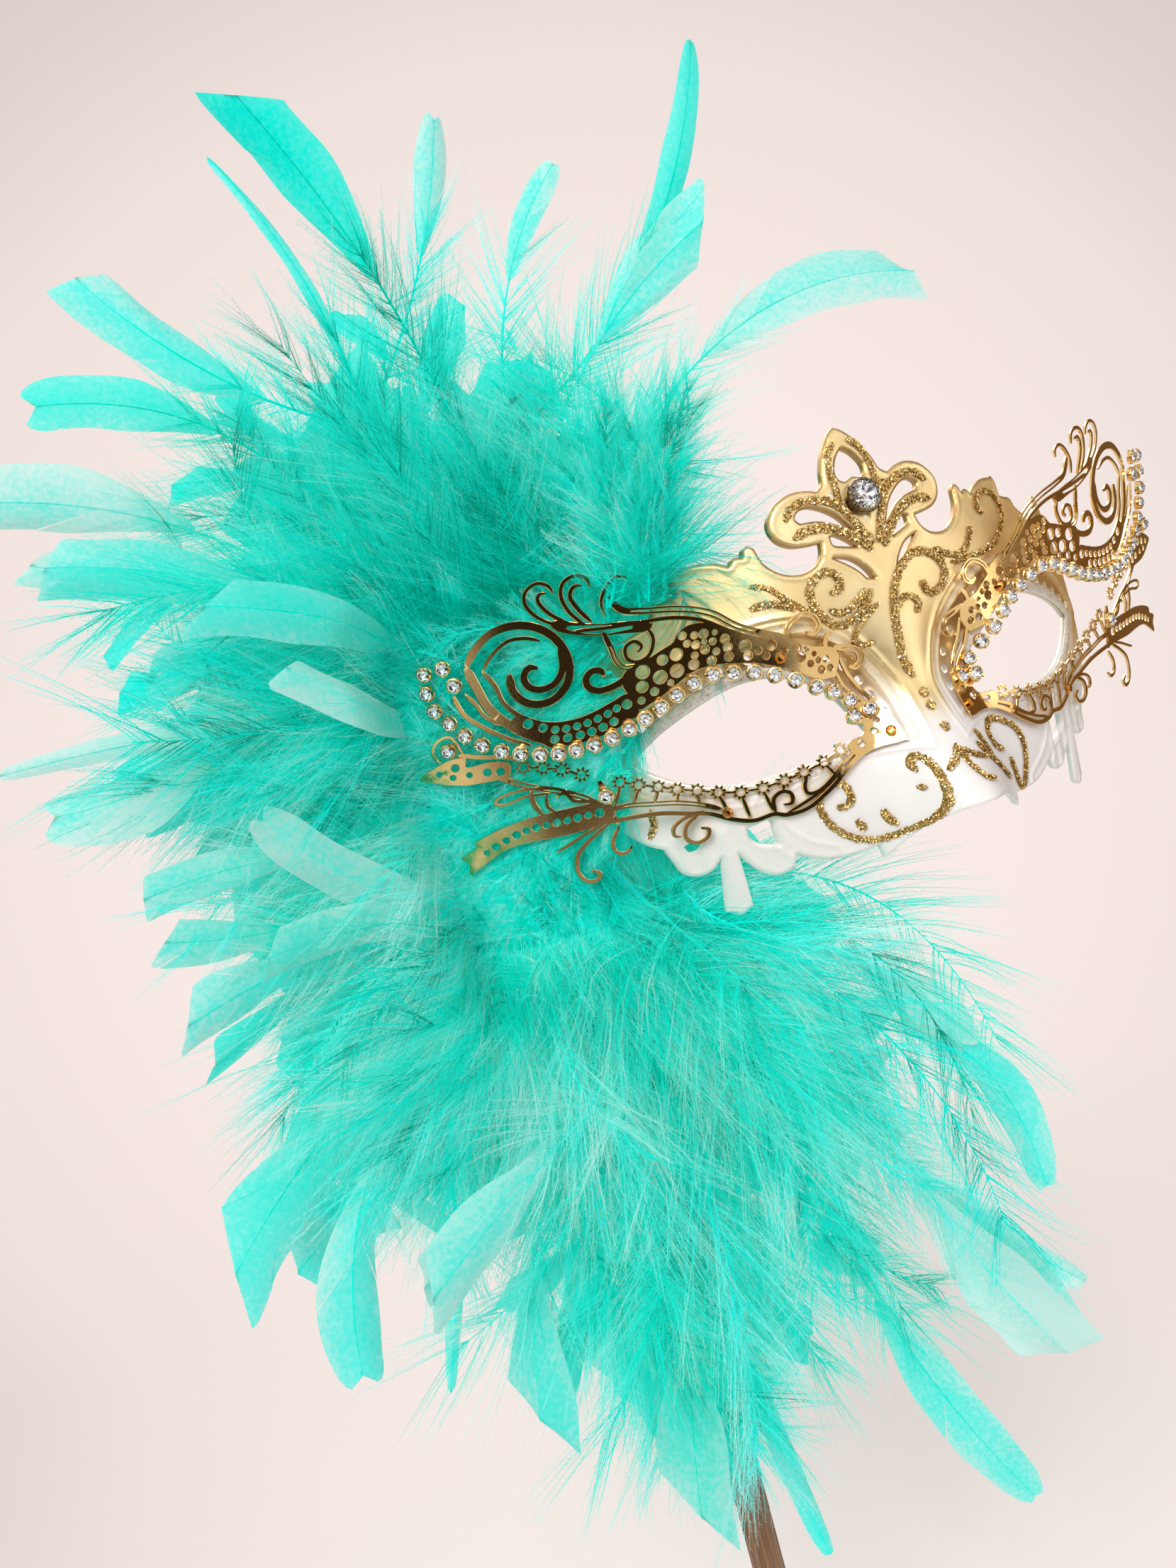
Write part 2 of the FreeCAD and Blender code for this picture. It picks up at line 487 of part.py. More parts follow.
def star_row(stars, side):
    """Gear-edged rings joined by short bars."""
    faces = []
    for i, (u, z) in enumerate(stars):
        faces.append(face_with_holes(star_wire(side * u, z, 0.1 * u), [round_wire(side * u, z, STAR_HOLE)]))
        if i:
            a = stars[i - 1]
            gap = math.hypot(u - a[0], z - a[1])
            t = 1.15 / gap
            near = (a[0] + (u - a[0]) * t, a[1] + (z - a[1]) * t)
            far = (u - (u - a[0]) * t, z - (z - a[1]) * t)
            faces.append(stroke_face([near, far], 1.2, side))
    return faces


def star_links(side):
    """Short posts between the star row and the long lower ribbon."""
    links = []
    for a, b in [((25.7, -2), (24, -5.6)), ((34.4, -3.6), (35.4, -5.6)), ((38.8, -4), (38, -9)),
                 ((43.2, -3.4), (42.6, -9)), ((47.4, -2), (46.4, -6.4)), ((51.5, 0), (51.6, -3)),
                 ((55.5, 1.4), (56, -1)), ((59.2, 3.2), (60.6, 0.6)), ((63, 5), (65, 1.6)), ((66.6, 6.8),
                                                                                             (69, 2))]:
        links.append(stroke_face([a, b], 1.1, side))
    return links


def filigree(side):
    faces = [stroke_face(points, width, side) for width, points in RIBBONS]
    faces += star_links(side)
    for points, holes in [(BROW_LATTICE, LATTICE_HOLES), (WING_BAND, BAND_HOLES),
                          (FISHTAIL, FISHTAIL_HOLES),
                          (LEAF, LEAF_HOLES), (INNER_PLATE, INNER_HOLES)]:
        faces.append(plate_face(points, holes, side))
    for stars in (STARS, UPPER_STARS):
        faces += star_row(stars, side)
    outline = merge(faces)
    ends = sorted([side * 6.0, side * 108.0])
    metal = sheet(metal_front, ends[0], ends[1], 18, -16, 57, 12, 0, METAL_T)
    return press(outline, metal)


# ---------------------------------------------------------------- stones
CHAIN = [(11.8, 6), (16.1, 5.6), (15.8, 9.5), (19.7, 12.4), (23.2, 14.7), (26.9, 17.4), (30.6, 19.8),
         (34.6, 21.8), (38.7, 23.2), (43.1, 24.2), (47.4, 23.9), (51.1, 22.5), (54.9, 20.9),
         (58.4, 19.5), (62, 18.5), (65.8, 17.6), (69.6, 17.3), (73.4, 17.4), (77, 17.8), (80.7, 18.8),
         (84.5, 20.3), (88.1, 22.1), (91.5, 24.7), (94.4, 27.9), (96.7, 31.5), (98.9, 35.2),
         (99.4, 39.4), (98.9, 43.6), (95, 43.5), (93.7, 39.2), (98.5, 25.7), (69.9, 5.4)]
RIVETS = [(10.2, 0.4), (28.6, 23), (46.6, -6.4)]


def spot_on(depth, x, z):
    """Point on a surface and the direction facing out of it."""
    step = 0.5
    slope_x = (depth(x + step, z) - depth(x - step, z)) / (2 * step)
    slope_z = (depth(x, z + step) - depth(x, z - step)) / (2 * step)
    out = V(slope_x, -1, slope_z)
    out.normalize()
    return V(x, depth(x, z), z), out


def turned(profile, base, axis):
    """Solid of revolution from (radius, height) points, set on a spot."""
    pts = [V(p[0], 0, p[1]) for p in profile]
    face = Part.Face(Part.makePolygon(pts + [pts[0]]))
    solid = face.revolve(V(0, 0, 0), V(0, 0, 1), 360)
    turn = FreeCAD.Rotation(V(0, 0, 1), axis)
    solid.Placement = FreeCAD.Placement(base, turn)
    return solid


def on_metal(profile, spots, side, lift):
    solids = []
    for u, z in spots:
        base, out = spot_on(metal_front, side * u, z)
        solids.append(turned(profile, base + out * lift, out))
    return Part.makeCompound(solids)


CUP_PROFILE = [(0, 0), (CUP_R, 0), (CUP_R, 1.3), (STONE_R + 0.03, 1.3), (STONE_R + 0.03, 0.35), (0, 0.35)]
STONE_PROFILE = [(0, 0.35), (0.5, 0.35), (STONE_R, 1.15), (STONE_R, 1.3), (0.85, 1.95), (0, 1.95)]
RIVET_PROFILE = [(0, 0), (1.2, 0), (1.2, 0.5), (0.7, 1.1), (0, 1.2)]


def on_crown(profile):
    base, out = spot_on(shell_front, 0, GEM_Z)
    return turned(profile, base + out * 0.12, out)


def crown_setting():
    rim = GEM_R + 0.05
    return on_crown([(0, 0), (GEM_R + 0.6, 0), (GEM_R + 0.6, 1.6), (rim, 2.3), (rim, 0.8), (0, 0.8)])


def crown_gem():
    return on_crown([(0, 0.8), (1.2, 0.8), (GEM_R, 2.2), (GEM_R, 2.5), (2.1, 3.8), (0, 3.8)])


# ---------------------------------------------------------------- stick and pad
def stick():
    """Fluted dowel standing on the origin, turned down a little at the plain held end."""
    end = Part.makeCylinder(END_R, PLAIN_END)
    rod = Part.makeCylinder(STICK_R, STICK_LENGTH - PLAIN_END, V(0, 0, PLAIN_END))
    grooves = []
    for k in range(FLUTES):
        a = 2 * math.pi * k / FLUTES
        x = (STICK_R + 0.15) * math.cos(a)
        y = (STICK_R + 0.15) * math.sin(a)
        grooves.append(Part.makeCylinder(FLUTE_R, STICK_LENGTH, V(x, y, PLAIN_END + COLLAR)))
    return end.fuse(rod.cut(Part.makeCompound(grooves)))


def stick_clearance(radius):
    """Rod around the stick, a little longer at its top, drawn in the mask frame."""
    up = V(math.sin(math.radians(LEAN)), 0, math.cos(math.radians(LEAN)))
    foot = ANCHOR - up * ANCHOR_HEIGHT
    return Part.makeCylinder(radius, STICK_LENGTH + 2, foot, up)


def backing_pad():
    """Felt pad that fills the wedge between the temple and the stick."""
    block = Part.makeBox(23, 16, 40, V(-81, 25, -6))
    behind = grid_face(shell_front, -90, -40, 18, -20, 50, 14)
    behind.translate(V(0, SHELL_T, 0))
    in_front = behind.extrude(V(0, -60, 0))
    return block.cut(in_front).cut(stick_clearance(STICK_R))


def plume_cord():
    """Thread core that the feathers are wrapped on, lashed beside the stick."""
    top = V(-79.6, 43, 46)
    bend = V(-80.8, 42.4, 28)
    path = curve([top, bend, V(-81.8, 42.2, 8), V(-82.9, 42.4, -12), V(-84, 43, -30)])
    disc = Part.Wire(Part.makeCircle(CORD_R, top, top - bend))
    return Part.Wire([path]).makePipeShell([disc], True, False)


# ---------------------------------------------------------------- plume
def ring_point(radii, around, up):
    flat = math.cos(up)
    return V(radii[0] * flat * math.cos(around), radii[1] * flat * math.sin(around), radii[2] * math.sin(up))


def lobe(centre, radii, turn):
    """Faceted egg shaped mass of down, turned about the depth axis."""
    faces = []
    for k in range(LOBE_ROWS):
        low = math.pi * (k / LOBE_ROWS - 0.5)
        high = math.pi * ((k + 1) / LOBE_ROWS - 0.5)
        for i in range(LOBE_SIDES):
            a = 2 * math.pi * i / LOBE_SIDES
            b = 2 * math.pi * (i + 1) / LOBE_SIDES
            corners = [ring_point(radii, a, low), ring_point(radii, b, low),
                       ring_point(radii, b, high), ring_point(radii, a, high)]
            if k == 0:
                corners = corners[1:]
            elif k == LOBE_ROWS - 1:
                corners = corners[:3]
            faces.append(Part.Face(Part.makePolygon(corners + [corners[0]])))
    egg = Part.makeSolid(Part.makeShell(faces))
    egg.rotate(V(0, 0, 0), V(0, 1, 0), turn)
    egg.translate(V(*centre))
    return egg


def vane(root, tip, width):
    """Flat clipped feather from root to tip."""
    a = V(*root)
    b = V(*tip)
    run = b - a
    side = V(run.z, 0, -run.x)
    side.normalize()
    thick = run.cross(side)
    thick.normalize()
    edge = []
    for along, share in ((0, 0.3), (0.5, 0.8), (0.85, 1.0), (1.0, 0.7)):
        edge.append((a + run * along, side * (width * 0.5 * share)))
    outline = [p + s for p, s in edge] + [p - s for p, s in reversed(edge)]
    return Part.Face(Part.makePolygon(outline + [outline[0]])).extrude(thick * 1.2)


UPPER_LOBES = [((-98, 74, 92), (36, 20, 46), -14), ((-48, 74, 88), (30, 20, 40), 16), ((-128, 74, 72),
                                                                                       (30, 20, 36), -42)]
UPPER_VANES = [((-95, 70, 90), (-100, 20, 164), 22), ((-112, 74, 90), (-142, 40, 146), 20),
               ((-120, 74, 80), (-160, 62, 124), 18), ((-70, 74, 90), (-4, 22, 130), 24),
               ((-50, 74, 85), (64, 52, 108), 22), ((-70, 74, 95), (12, 40, 168), 5),
               ((-85, 74, 100), (-56, 24, 160), 16)]
SIDE_LOBES = [((-135, 74, 32), (40, 20, 34), 0), ((-118, 76, -2), (34, 20, 26), 20)]
SIDE_VANES = [((-130, 74, 40), (-170, 62, 106), 16), ((-140, 74, 36), (-186, 30, 46), 18),
              ((-140, 74, 20), (-172, 40, 14), 16)]
LOWER_LOBES = [((-118, 60, -58), (40, 18, 42), 30), ((-84, 62, -84), (38, 18, 50), 4), ((-44, 62, -82),
                                                                                        (34, 16, 52),
                                                                                        -28)]
LOWER_VANES = [((-130, 58, -60), (-172, 24, -56), 22), ((-115, 58, -80), (-160, 30, -98), 20),
               ((-100, 60, -90), (-126, 36, -134), 24), ((-85, 60, -100), (-99, 34, -166), 22),
               ((-60, 60, -100), (-70, 36, -196), 8), ((-50, 60, -100), (-16, 34, -206), 10),
               ((-40, 60, -90), (12, 24, -156), 22), ((-40, 60, -80), (24, 36, -124), 22),
               ((-45, 60, -70), (2, 34, -72), 20)]


def plume(lobes, vanes, blockers):
    masses = [lobe(*item) for item in lobes]
    blades = [vane(*item) for item in vanes]
    body = masses[0].multiFuse(masses[1:] + blades)
    for blocker in blockers:
        body = body.cut(blocker)
    return body


def main():
    save("stick", stick())
    save("mask_shell", place(mask_shell()))
    for side, name in ((-1, "left"), (1, "right")):
        save("eye_rim_" + name, place(eye_rim(side)))
        save("filigree_" + name, place(filigree(side)))
        save("stone_cups_" + name, place(on_metal(CUP_PROFILE, CHAIN, side, 0.02)))
        save("stones_" + name, place(on_metal(STONE_PROFILE, CHAIN, side, 0.02)))
        save("rivets_" + name, place(on_metal(RIVET_PROFILE, RIVETS, side, 0.02)))
    save("glitter_crown", place(crown_glitter()))
    save("glitter_forehead", place(glitter(FOREHEAD_GLITTER, False, [])))
    spots = [Part.Face(round_wire(x, z, DOT_R)) for x, z in DOTS]
    save("glitter_face", place(glitter(FACE_GLITTER, False, spots)))
    save("crown_setting", place(crown_setting()))
    save("crown_gem", place(crown_gem()))
    save("backing_pad", place(backing_pad()))
    save("plume_cord", place(plume_cord()))
    cord_room = lobe((-81.8, 43, 8), (6, 5.5, 50), 3)
    rod = stick_clearance(STICK_R + 1.5)
    lower_body = plume(LOWER_LOBES, LOWER_VANES, [rod, cord_room])
    side_body = plume(SIDE_LOBES, SIDE_VANES, [rod, cord_room]).cut(lower_body)
    upper_body = plume(UPPER_LOBES, UPPER_VANES, [rod, cord_room]).cut(side_body)
    save("plume_lower", place(lower_body))
    save("plume_side", place(side_body))
    save("plume_upper", place(upper_body))


main()
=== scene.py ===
import math

import bmesh
import bpy
import numpy as np
from mathutils import Matrix, Vector
from mathutils.geometry import delaunay_2d_cdt


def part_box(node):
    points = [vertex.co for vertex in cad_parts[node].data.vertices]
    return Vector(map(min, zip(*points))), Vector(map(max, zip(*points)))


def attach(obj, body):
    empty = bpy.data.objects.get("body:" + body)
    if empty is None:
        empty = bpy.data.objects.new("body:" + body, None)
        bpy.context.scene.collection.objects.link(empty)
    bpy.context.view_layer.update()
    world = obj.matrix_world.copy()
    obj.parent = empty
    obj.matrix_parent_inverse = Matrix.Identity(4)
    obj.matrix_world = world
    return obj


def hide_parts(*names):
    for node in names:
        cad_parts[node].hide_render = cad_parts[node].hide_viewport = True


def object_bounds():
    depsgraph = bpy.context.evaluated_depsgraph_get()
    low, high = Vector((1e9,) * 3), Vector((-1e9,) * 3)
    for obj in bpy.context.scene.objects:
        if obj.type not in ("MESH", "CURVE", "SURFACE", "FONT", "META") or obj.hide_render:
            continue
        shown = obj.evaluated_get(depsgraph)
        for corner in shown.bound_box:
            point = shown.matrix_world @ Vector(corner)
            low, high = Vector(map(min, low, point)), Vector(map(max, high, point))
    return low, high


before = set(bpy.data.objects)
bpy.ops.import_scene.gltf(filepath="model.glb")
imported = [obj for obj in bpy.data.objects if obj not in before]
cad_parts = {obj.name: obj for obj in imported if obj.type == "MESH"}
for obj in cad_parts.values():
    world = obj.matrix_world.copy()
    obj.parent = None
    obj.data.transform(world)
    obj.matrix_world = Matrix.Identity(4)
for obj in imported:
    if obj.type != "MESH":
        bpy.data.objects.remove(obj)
CAD_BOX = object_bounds()

# The mask is drawn in its own frame in millimetres: x across the face, y into the face, z up, from
# the bridge of the nose.  place() carries it to the frame of the stick, where the temple stands on
# the lashing point.
MM = 0.001
LEAN = math.radians(3.2)
ANCHOR = np.array([-74.3, 42.0, 10.0])
ANCHOR_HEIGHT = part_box("stick")[1].z / MM - 30.0
SHELL_T = 2.0
METAL_T = 0.7
SIDES = {"left": -1, "right": 1}

rng = np.random.default_rng(7)


def unit(v):
    return v / np.maximum(np.linalg.norm(v, axis=-1, keepdims=True), 1e-9)


def place(points):
    """Mask frame in millimetres to the frame of the stick in metres."""
    moved = np.asarray(points, dtype=float) - ANCHOR
    x = moved[:, 0] * math.cos(LEAN) - moved[:, 2] * math.sin(LEAN)
    z = moved[:, 0] * math.sin(LEAN) + moved[:, 2] * math.cos(LEAN)
    return np.stack([x, moved[:, 1], z + ANCHOR_HEIGHT], axis=1) * MM


def add_object(name, data):
    made = bpy.data.objects.new(name, data)
    bpy.context.scene.collection.objects.link(made)
    return made


# ---------------------------------------------------------------- camera
# as found from the photograph
LENS_MM = 26.79
SENSOR_MM = 36.0
CAMERA_SPOT = (-0.06528, -0.27152, 0.30659)
CAMERA_RIGHT = (0.93057, -0.26334, -0.25433)
CAMERA_AHEAD = (0.25483, 0.96470, -0.06652)


def make_camera():
    data = bpy.data.cameras.new("photo_camera")
    data.sensor_width = SENSOR_MM
    data.lens = LENS_MM
    data.clip_start = 0.01
    camera = add_object("photo_camera", data)
    right = Vector(CAMERA_RIGHT).normalized()
    ahead = Vector(CAMERA_AHEAD).normalized()
    up = right.cross(ahead).normalized()
    turn = Matrix((right, up, -ahead)).transposed()
    camera.matrix_world = Matrix.Translation(CAMERA_SPOT) @ turn.to_4x4()
    bpy.context.scene.camera = camera


make_camera()


# ---------------------------------------------------------------- node helpers
class Nodes:
    """Adds and links the shader nodes of one material or world."""

    def __init__(self, owner):
        owner.use_nodes = True
        self.owner = owner
        self.tree = owner.node_tree
        self.tree.nodes.clear()

    def add(self, kind, **values):
        node = self.tree.nodes.new(kind)
        for key, value in values.items():
            setattr(node, key, value)
        return node

    def put(self, value, socket):
        """Stores a number or a colour in a socket, or links another socket to it."""
        if isinstance(value, (int, float)):
            socket.default_value = value
        elif isinstance(value, tuple):
            socket.default_value = (*value, 1.0)
        else:
            self.tree.links.new(value, socket)

    def make(self, kind, **inputs):
        """Node with its inputs given by name, an underscore standing for a space."""
        node = self.add(kind)
        for key, value in inputs.items():
            self.put(value, node.inputs[key.replace("_", " ")])
        return node

    def coords(self):
        return self.add("ShaderNodeTexCoord").outputs["Object"]

    def noise(self, scale, detail=3.0, rough=0.5, coords=None, distortion=0.0):
        return self.make("ShaderNodeTexNoise", Scale=scale, Detail=detail, Roughness=rough,
                         Distortion=distortion, Vector=coords or self.coords()).outputs["Fac"]

    def cells(self, scale):
        return self.make("ShaderNodeTexVoronoi", Scale=scale, Vector=self.coords()).outputs

    def split(self, colour):
        return self.make("ShaderNodeSeparateColor", Color=colour).outputs

    def tones(self):
        """The four tones that are stored with the points of a mesh."""
        tone = self.add("ShaderNodeAttribute", attribute_name="tone").outputs
        return (*self.split(tone["Color"]), tone["Alpha"])

    def ramp(self, source, *stops):
        """Colour ramp; each stop is a place and the three parts of its colour."""
        node = self.make("ShaderNodeValToRGB", Fac=source)
        elements = node.color_ramp.elements
        while len(elements) < len(stops):
            elements.new(0.5)
        for element, (spot, *colour) in zip(elements, stops):
            element.position = spot
            element.color = (*colour, 1.0)
        return node.outputs["Color"]

    def span(self, source, low, high, new_low=0.0, new_high=1.0):
        return self.make("ShaderNodeMapRange", From_Min=low, From_Max=high, To_Min=new_low,
                         To_Max=new_high, Value=source).outputs["Result"]

    def math(self, operation, *values):
        node = self.add("ShaderNodeMath", operation=operation)
        for socket, value in zip(node.inputs, values):
            self.put(value, socket)
        return node.outputs["Value"]

    def mix(self, fac, a, b, blend="MIX"):
        node = self.add("ShaderNodeMix", data_type="RGBA", blend_type=blend)
        sockets = {socket.name: socket for socket in node.inputs if socket.enabled}
        for name, value in (("Factor", fac), ("A", a), ("B", b)):
            self.put(value, sockets[name])
        return [socket for socket in node.outputs if socket.enabled][0]

    def mix_shader(self, fac, first, second):
        node = self.make("ShaderNodeMixShader", Fac=fac)
        for socket, shader in zip(node.inputs[1:], (first, second)):
            self.put(shader.outputs[0], socket)
        return node

    def bump(self, height, strength, distance):
        return self.make("ShaderNodeBump", Strength=strength, Distance=distance,
                         Height=height).outputs["Normal"]

    def principled(self, **values):
        return self.make("ShaderNodeBsdfPrincipled", **values)

    def finish(self, shader, kind="ShaderNodeOutputMaterial"):
        self.make(kind, Surface=shader.outputs[0])
        return self.owner


def material(name):
    return Nodes(bpy.data.materials.new(name))


# ---------------------------------------------------------------- light and stage
SCREEN = (0.955, 0.830, 0.790)
VIEW_MIDDLE = (0.255, 0.965, -0.067)
# seen only in reflections: a dark flag low in front of the left temple, a warm one to the right
DARK_FLAG = (-0.42, -0.82, -0.38)
WARM_FLAG = (0.97, 0.10, 0.15)
# what lights the part from all round
DIFFUSE_LIGHT = (0.98, 0.97, 0.96)
DIFFUSE_STRENGTH = 0.45
FLOOR_RADIUS = 3.0
FLOOR_FADE = (0.18, 0.55)
LAMP_SIZE = 0.9
# name, place from the middle of the part in metres, watts, colour
LAMPS = (
    ("key", (-0.7, -1.1, 0.9), 16.4, (1.0, 0.98, 0.95)),
    ("fill", (1.1, -0.8, 0.2), 2.6, (1.0, 0.97, 0.95)),
    ("rim", (0.2, 1.1, 0.7), 7.0, (1.0, 1.0, 1.0)),
)


def make_world():
    world = bpy.data.worlds.new("studio")
    bpy.context.scene.world = world
    nodes = Nodes(world)
    geometry = nodes.add("ShaderNodeTexCoord").outputs["Generated"]
    path = nodes.add("ShaderNodeLightPath").outputs

    def toward(direction, low, high):
        """How near the line of sight is to a direction, by the cosine of the angle."""
        dot = nodes.add("ShaderNodeVectorMath", operation="DOT_PRODUCT")
        nodes.put(geometry, dot.inputs[0])
        dot.inputs[1].default_value = Vector(direction).normalized()
        return nodes.span(dot.outputs["Value"], low, high)

    # pale screen, a little greyer far from the middle of the view
    screen = nodes.ramp(toward(VIEW_MIDDLE, 0.72, 0.95),
                        (0.0, 0.62, 0.55, 0.51), (0.55, 0.86, 0.75, 0.715), (1.0, *SCREEN))
    dark = nodes.ramp(toward(DARK_FLAG, 0.84, 0.94),
                      (0.0, 0.97, 0.95, 0.92), (1.0, 0.03, 0.024, 0.018))
    warm = nodes.ramp(toward(WARM_FLAG, 0.58, 0.88),
                      (0.0, 1.0, 1.0, 1.0), (1.0, 0.20, 0.12, 0.055))
    flags = nodes.mix(1.0, dark, warm, "MULTIPLY")
    seen = nodes.mix(path["Is Glossy Ray"], screen, flags)
    show = nodes.math("MAXIMUM", path["Is Camera Ray"], path["Is Glossy Ray"])
    show = nodes.math("MAXIMUM", show, path["Is Transmission Ray"])
    background = nodes.make("ShaderNodeBackground", Color=nodes.mix(show, DIFFUSE_LIGHT, seen),
                            Strength=nodes.span(show, 0.0, 1.0, DIFFUSE_STRENGTH, 1.0))
    nodes.finish(background, "ShaderNodeOutputWorld")


def make_floor():
    """Paper that fades into the screen a little way from the stick."""
    mesh = bpy.data.meshes.new("floor")
    bm = bmesh.new()
    bmesh.ops.create_circle(bm, cap_ends=True, segments=96, radius=FLOOR_RADIUS)
    bm.to_mesh(mesh)
    bm.free()
    floor = add_object("floor", mesh)
    nodes = material("floor_paper")
    paper = nodes.principled(Base_Color=(0.93, 0.83, 0.80), Roughness=0.8)
    clear = nodes.add("ShaderNodeBsdfTransparent")
    length = nodes.add("ShaderNodeVectorMath", operation="LENGTH")
    nodes.put(nodes.coords(), length.inputs[0])
    away = nodes.span(length.outputs["Value"], *FLOOR_FADE)
    mesh.materials.append(nodes.finish(nodes.mix_shader(away, paper, clear)))


def make_lamps():
    centre = (CAD_BOX[0] + CAD_BOX[1]) / 2
    for name, offset, watts, colour in LAMPS:
        data = bpy.data.lights.new(name, "AREA")
        data.shape = "DISK"
        data.size = LAMP_SIZE
        data.energy = watts
        data.color = colour
        lamp = add_object(name, data)
        spot = centre + Vector(offset)
        lamp.location = spot
        lamp.rotation_euler = (centre - spot).to_track_quat("-Z", "Y").to_euler()


make_world()
make_floor()
make_lamps()
bpy.context.scene.view_settings.view_transform = "Standard"


# ---------------------------------------------------------------- mesh helpers
def dress(name, mesh, made, node, tones=None):
    """Object of a mesh that rides on the mask and stands in for a node of the frame."""
    if tones is not None:
        layer = mesh.color_attributes.new("tone", "FLOAT_COLOR", "POINT")
        layer.data.foreach_set("color", np.asarray(tones, dtype=np.float32).ravel())
    mesh.materials.append(made)
    piece = add_object(name, mesh)
    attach(piece, "root")
    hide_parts(node)
    return piece


def mesh_piece(name, points, faces, made, node, smooth=True, tones=None):
    """Piece from points in the mask frame and a list of faces."""
    mesh = bpy.data.meshes.new(name)
    mesh.from_pydata(place(points).tolist(), [], faces)
    mesh.polygons.foreach_set("use_smooth", [smooth] * len(mesh.polygons))
    return dress(name, mesh, made, node, tones)


# ---------------------------------------------------------------- drawn outlines
# Most of these outlines are also in part.py, with the same numbers.  A point is its distance from
# the middle line of the mask and its height, in millimetres; a negative distance is past the
# middle.  A stroke has its width first, and a round hole its radius last.
def joined(*runs):
    """Smooth runs with corners between them; each one starts where the last one ended."""
    for before, run in zip(runs, runs[1:]):
        run.insert(0, before[-1])
    return list(runs)


HALF_OUTLINE = joined(
    [(0, 67.5), (2, 66.2), (4.8, 62.6), (6.6, 58.8), (7.3, 56.2), (9, 54.9)],
    [(11.8, 55.9), (15.2, 56.1), (19, 54.6), (21.6, 51), (21, 47.3), (18.3, 44.9), (14.8, 44.1),
     (12.2, 43.9)],
    [(12.9, 41.4), (15, 39.4), (18.5, 38.8), (22.2, 40.3), (24.8, 43.4), (25.7, 47.2)],
    [(26.9, 48.3), (28.2, 47.5), (28.6, 46.2)],
    [(30.3, 46.6), (31.8, 45.3)],
    [(34.2, 46.9), (38, 48), (41.6, 47.9)],
    [(42.7, 48.2), (43.5, 46.3), (43.3, 43.2)],
    [(45.5, 42.6), (48, 42), (49, 40)],
    [(52, 38), (56, 37), (60, 37.5), (63, 40)],
    [(64.5, 41.5), (66, 40)],
    [(67, 35), (69, 28), (70.5, 20), (71, 12), (70.3, 4), (67.5, -3), (63, -9), (59.5, -11.5)],
    [(58.3, -15), (57, -18.3), (54, -19.6), (51, -18.6), (49.2, -16.6)],
    [(50.8, -29.5)],
    [(48.1, -31), (45.4, -29.5)],
    [(45.8, -16.6)],
    [(44.4, -19.3), (42, -22.5), (38.8, -24), (36, -23), (34.8, -20.3)],
    [(32, -22.2), (28, -23.7), (23, -24), (18.4, -23.4)],
    [(18, -26.3)],
    [(16.6, -25.6), (13.5, -23), (9.5, -20.7), (5, -19.6), (0, -19.3)])
EYE_HOLE = joined(
    [(61, 9.7), (55, 14), (48, 17.2), (41, 19.4), (35, 20), (29, 18.8), (23, 15.5), (18, 11),
     (15, 6), (13.5, 1.5)],
    [(17, -0.3), (24, -1.3), (32, -1.6), (40, -1.5), (48, 0.3), (55, 4.2), (61, 9.7)])
TEARDROP = joined([(0, 62.6), (2, 60.8), (3.4, 58), (3.2, 56), (2, 55.2)], [(0, 55.9)])
WEDGE = [(4.4, 51.8), (5.4, 54), (7.5, 53.3)]
LOBE_CRESCENT = joined(
    [(4.2, 44), (6.3, 47.8), (9, 50.4), (12, 52), (14.4, 51.9), (15.6, 50.6), (14.8, 49.3)],
    [(11.5, 48.8), (8.6, 47.6), (6.2, 45.8), (4.2, 44)])
LOWER_WEDGE = joined(
    [(4.6, 40.9), (6.5, 43), (8.6, 44.6), (9.7, 44.4)],
    [(9.5, 42.7), (7.5, 41.8), (4.6, 40.9)])
THIN_CRESCENT = joined(
    [(3, 33.2), (4.6, 36.3), (7.2, 38.8), (10.5, 40)],
    [(8.2, 38.1), (6.1, 36), (4.6, 33.8)],
    [(3, 33.2)])
OVALS = [
    (9.2, 5), (10, 9), (11.2, 12.8), (14, 17), (18, 20.5), (22.6, 23), (28, 24.3), (34, 24.6),
    (39.8, 23.9), (44.3, 22.7), (48.4, 21), (52.6, 19.1), (56.8, 17), (60.8, 14.7), (64.6, 12.2)]
OVAL_R = 1.1
PETAL_HOLES = [
    joined([(43, -11.5), (38.4, -11), (37.9, -14), (37.5, -17)],
           [(41, -15.8), (43, -13.7), (43, -11.5)]),
    joined([(56, -11.7), (53.6, -11.2), (51.6, -11.8)], [(53, -13.4), (55.2, -13.4), (56, -11.7)]),
]
CROWN_GLITTER = [
    (1.3, [(1.8, 64.2), (3.9, 62), (4.9, 58.5), (5, 55), (5.2, 51.4), (4.1, 47.4), (2.4, 44),
           (0.7, 40.3)]),
    (1.7, [(18, 50.8), (16, 52.9), (13, 53.6), (9.5, 53), (6.6, 51.2), (4.6, 48.4), (2.6, 44.4),
           (1, 41)]),
    (1.8, [(17.6, 46.5), (14.4, 47.4), (10.4, 46.8), (7, 45), (4, 42.3), (1.6, 39.3)]),
]
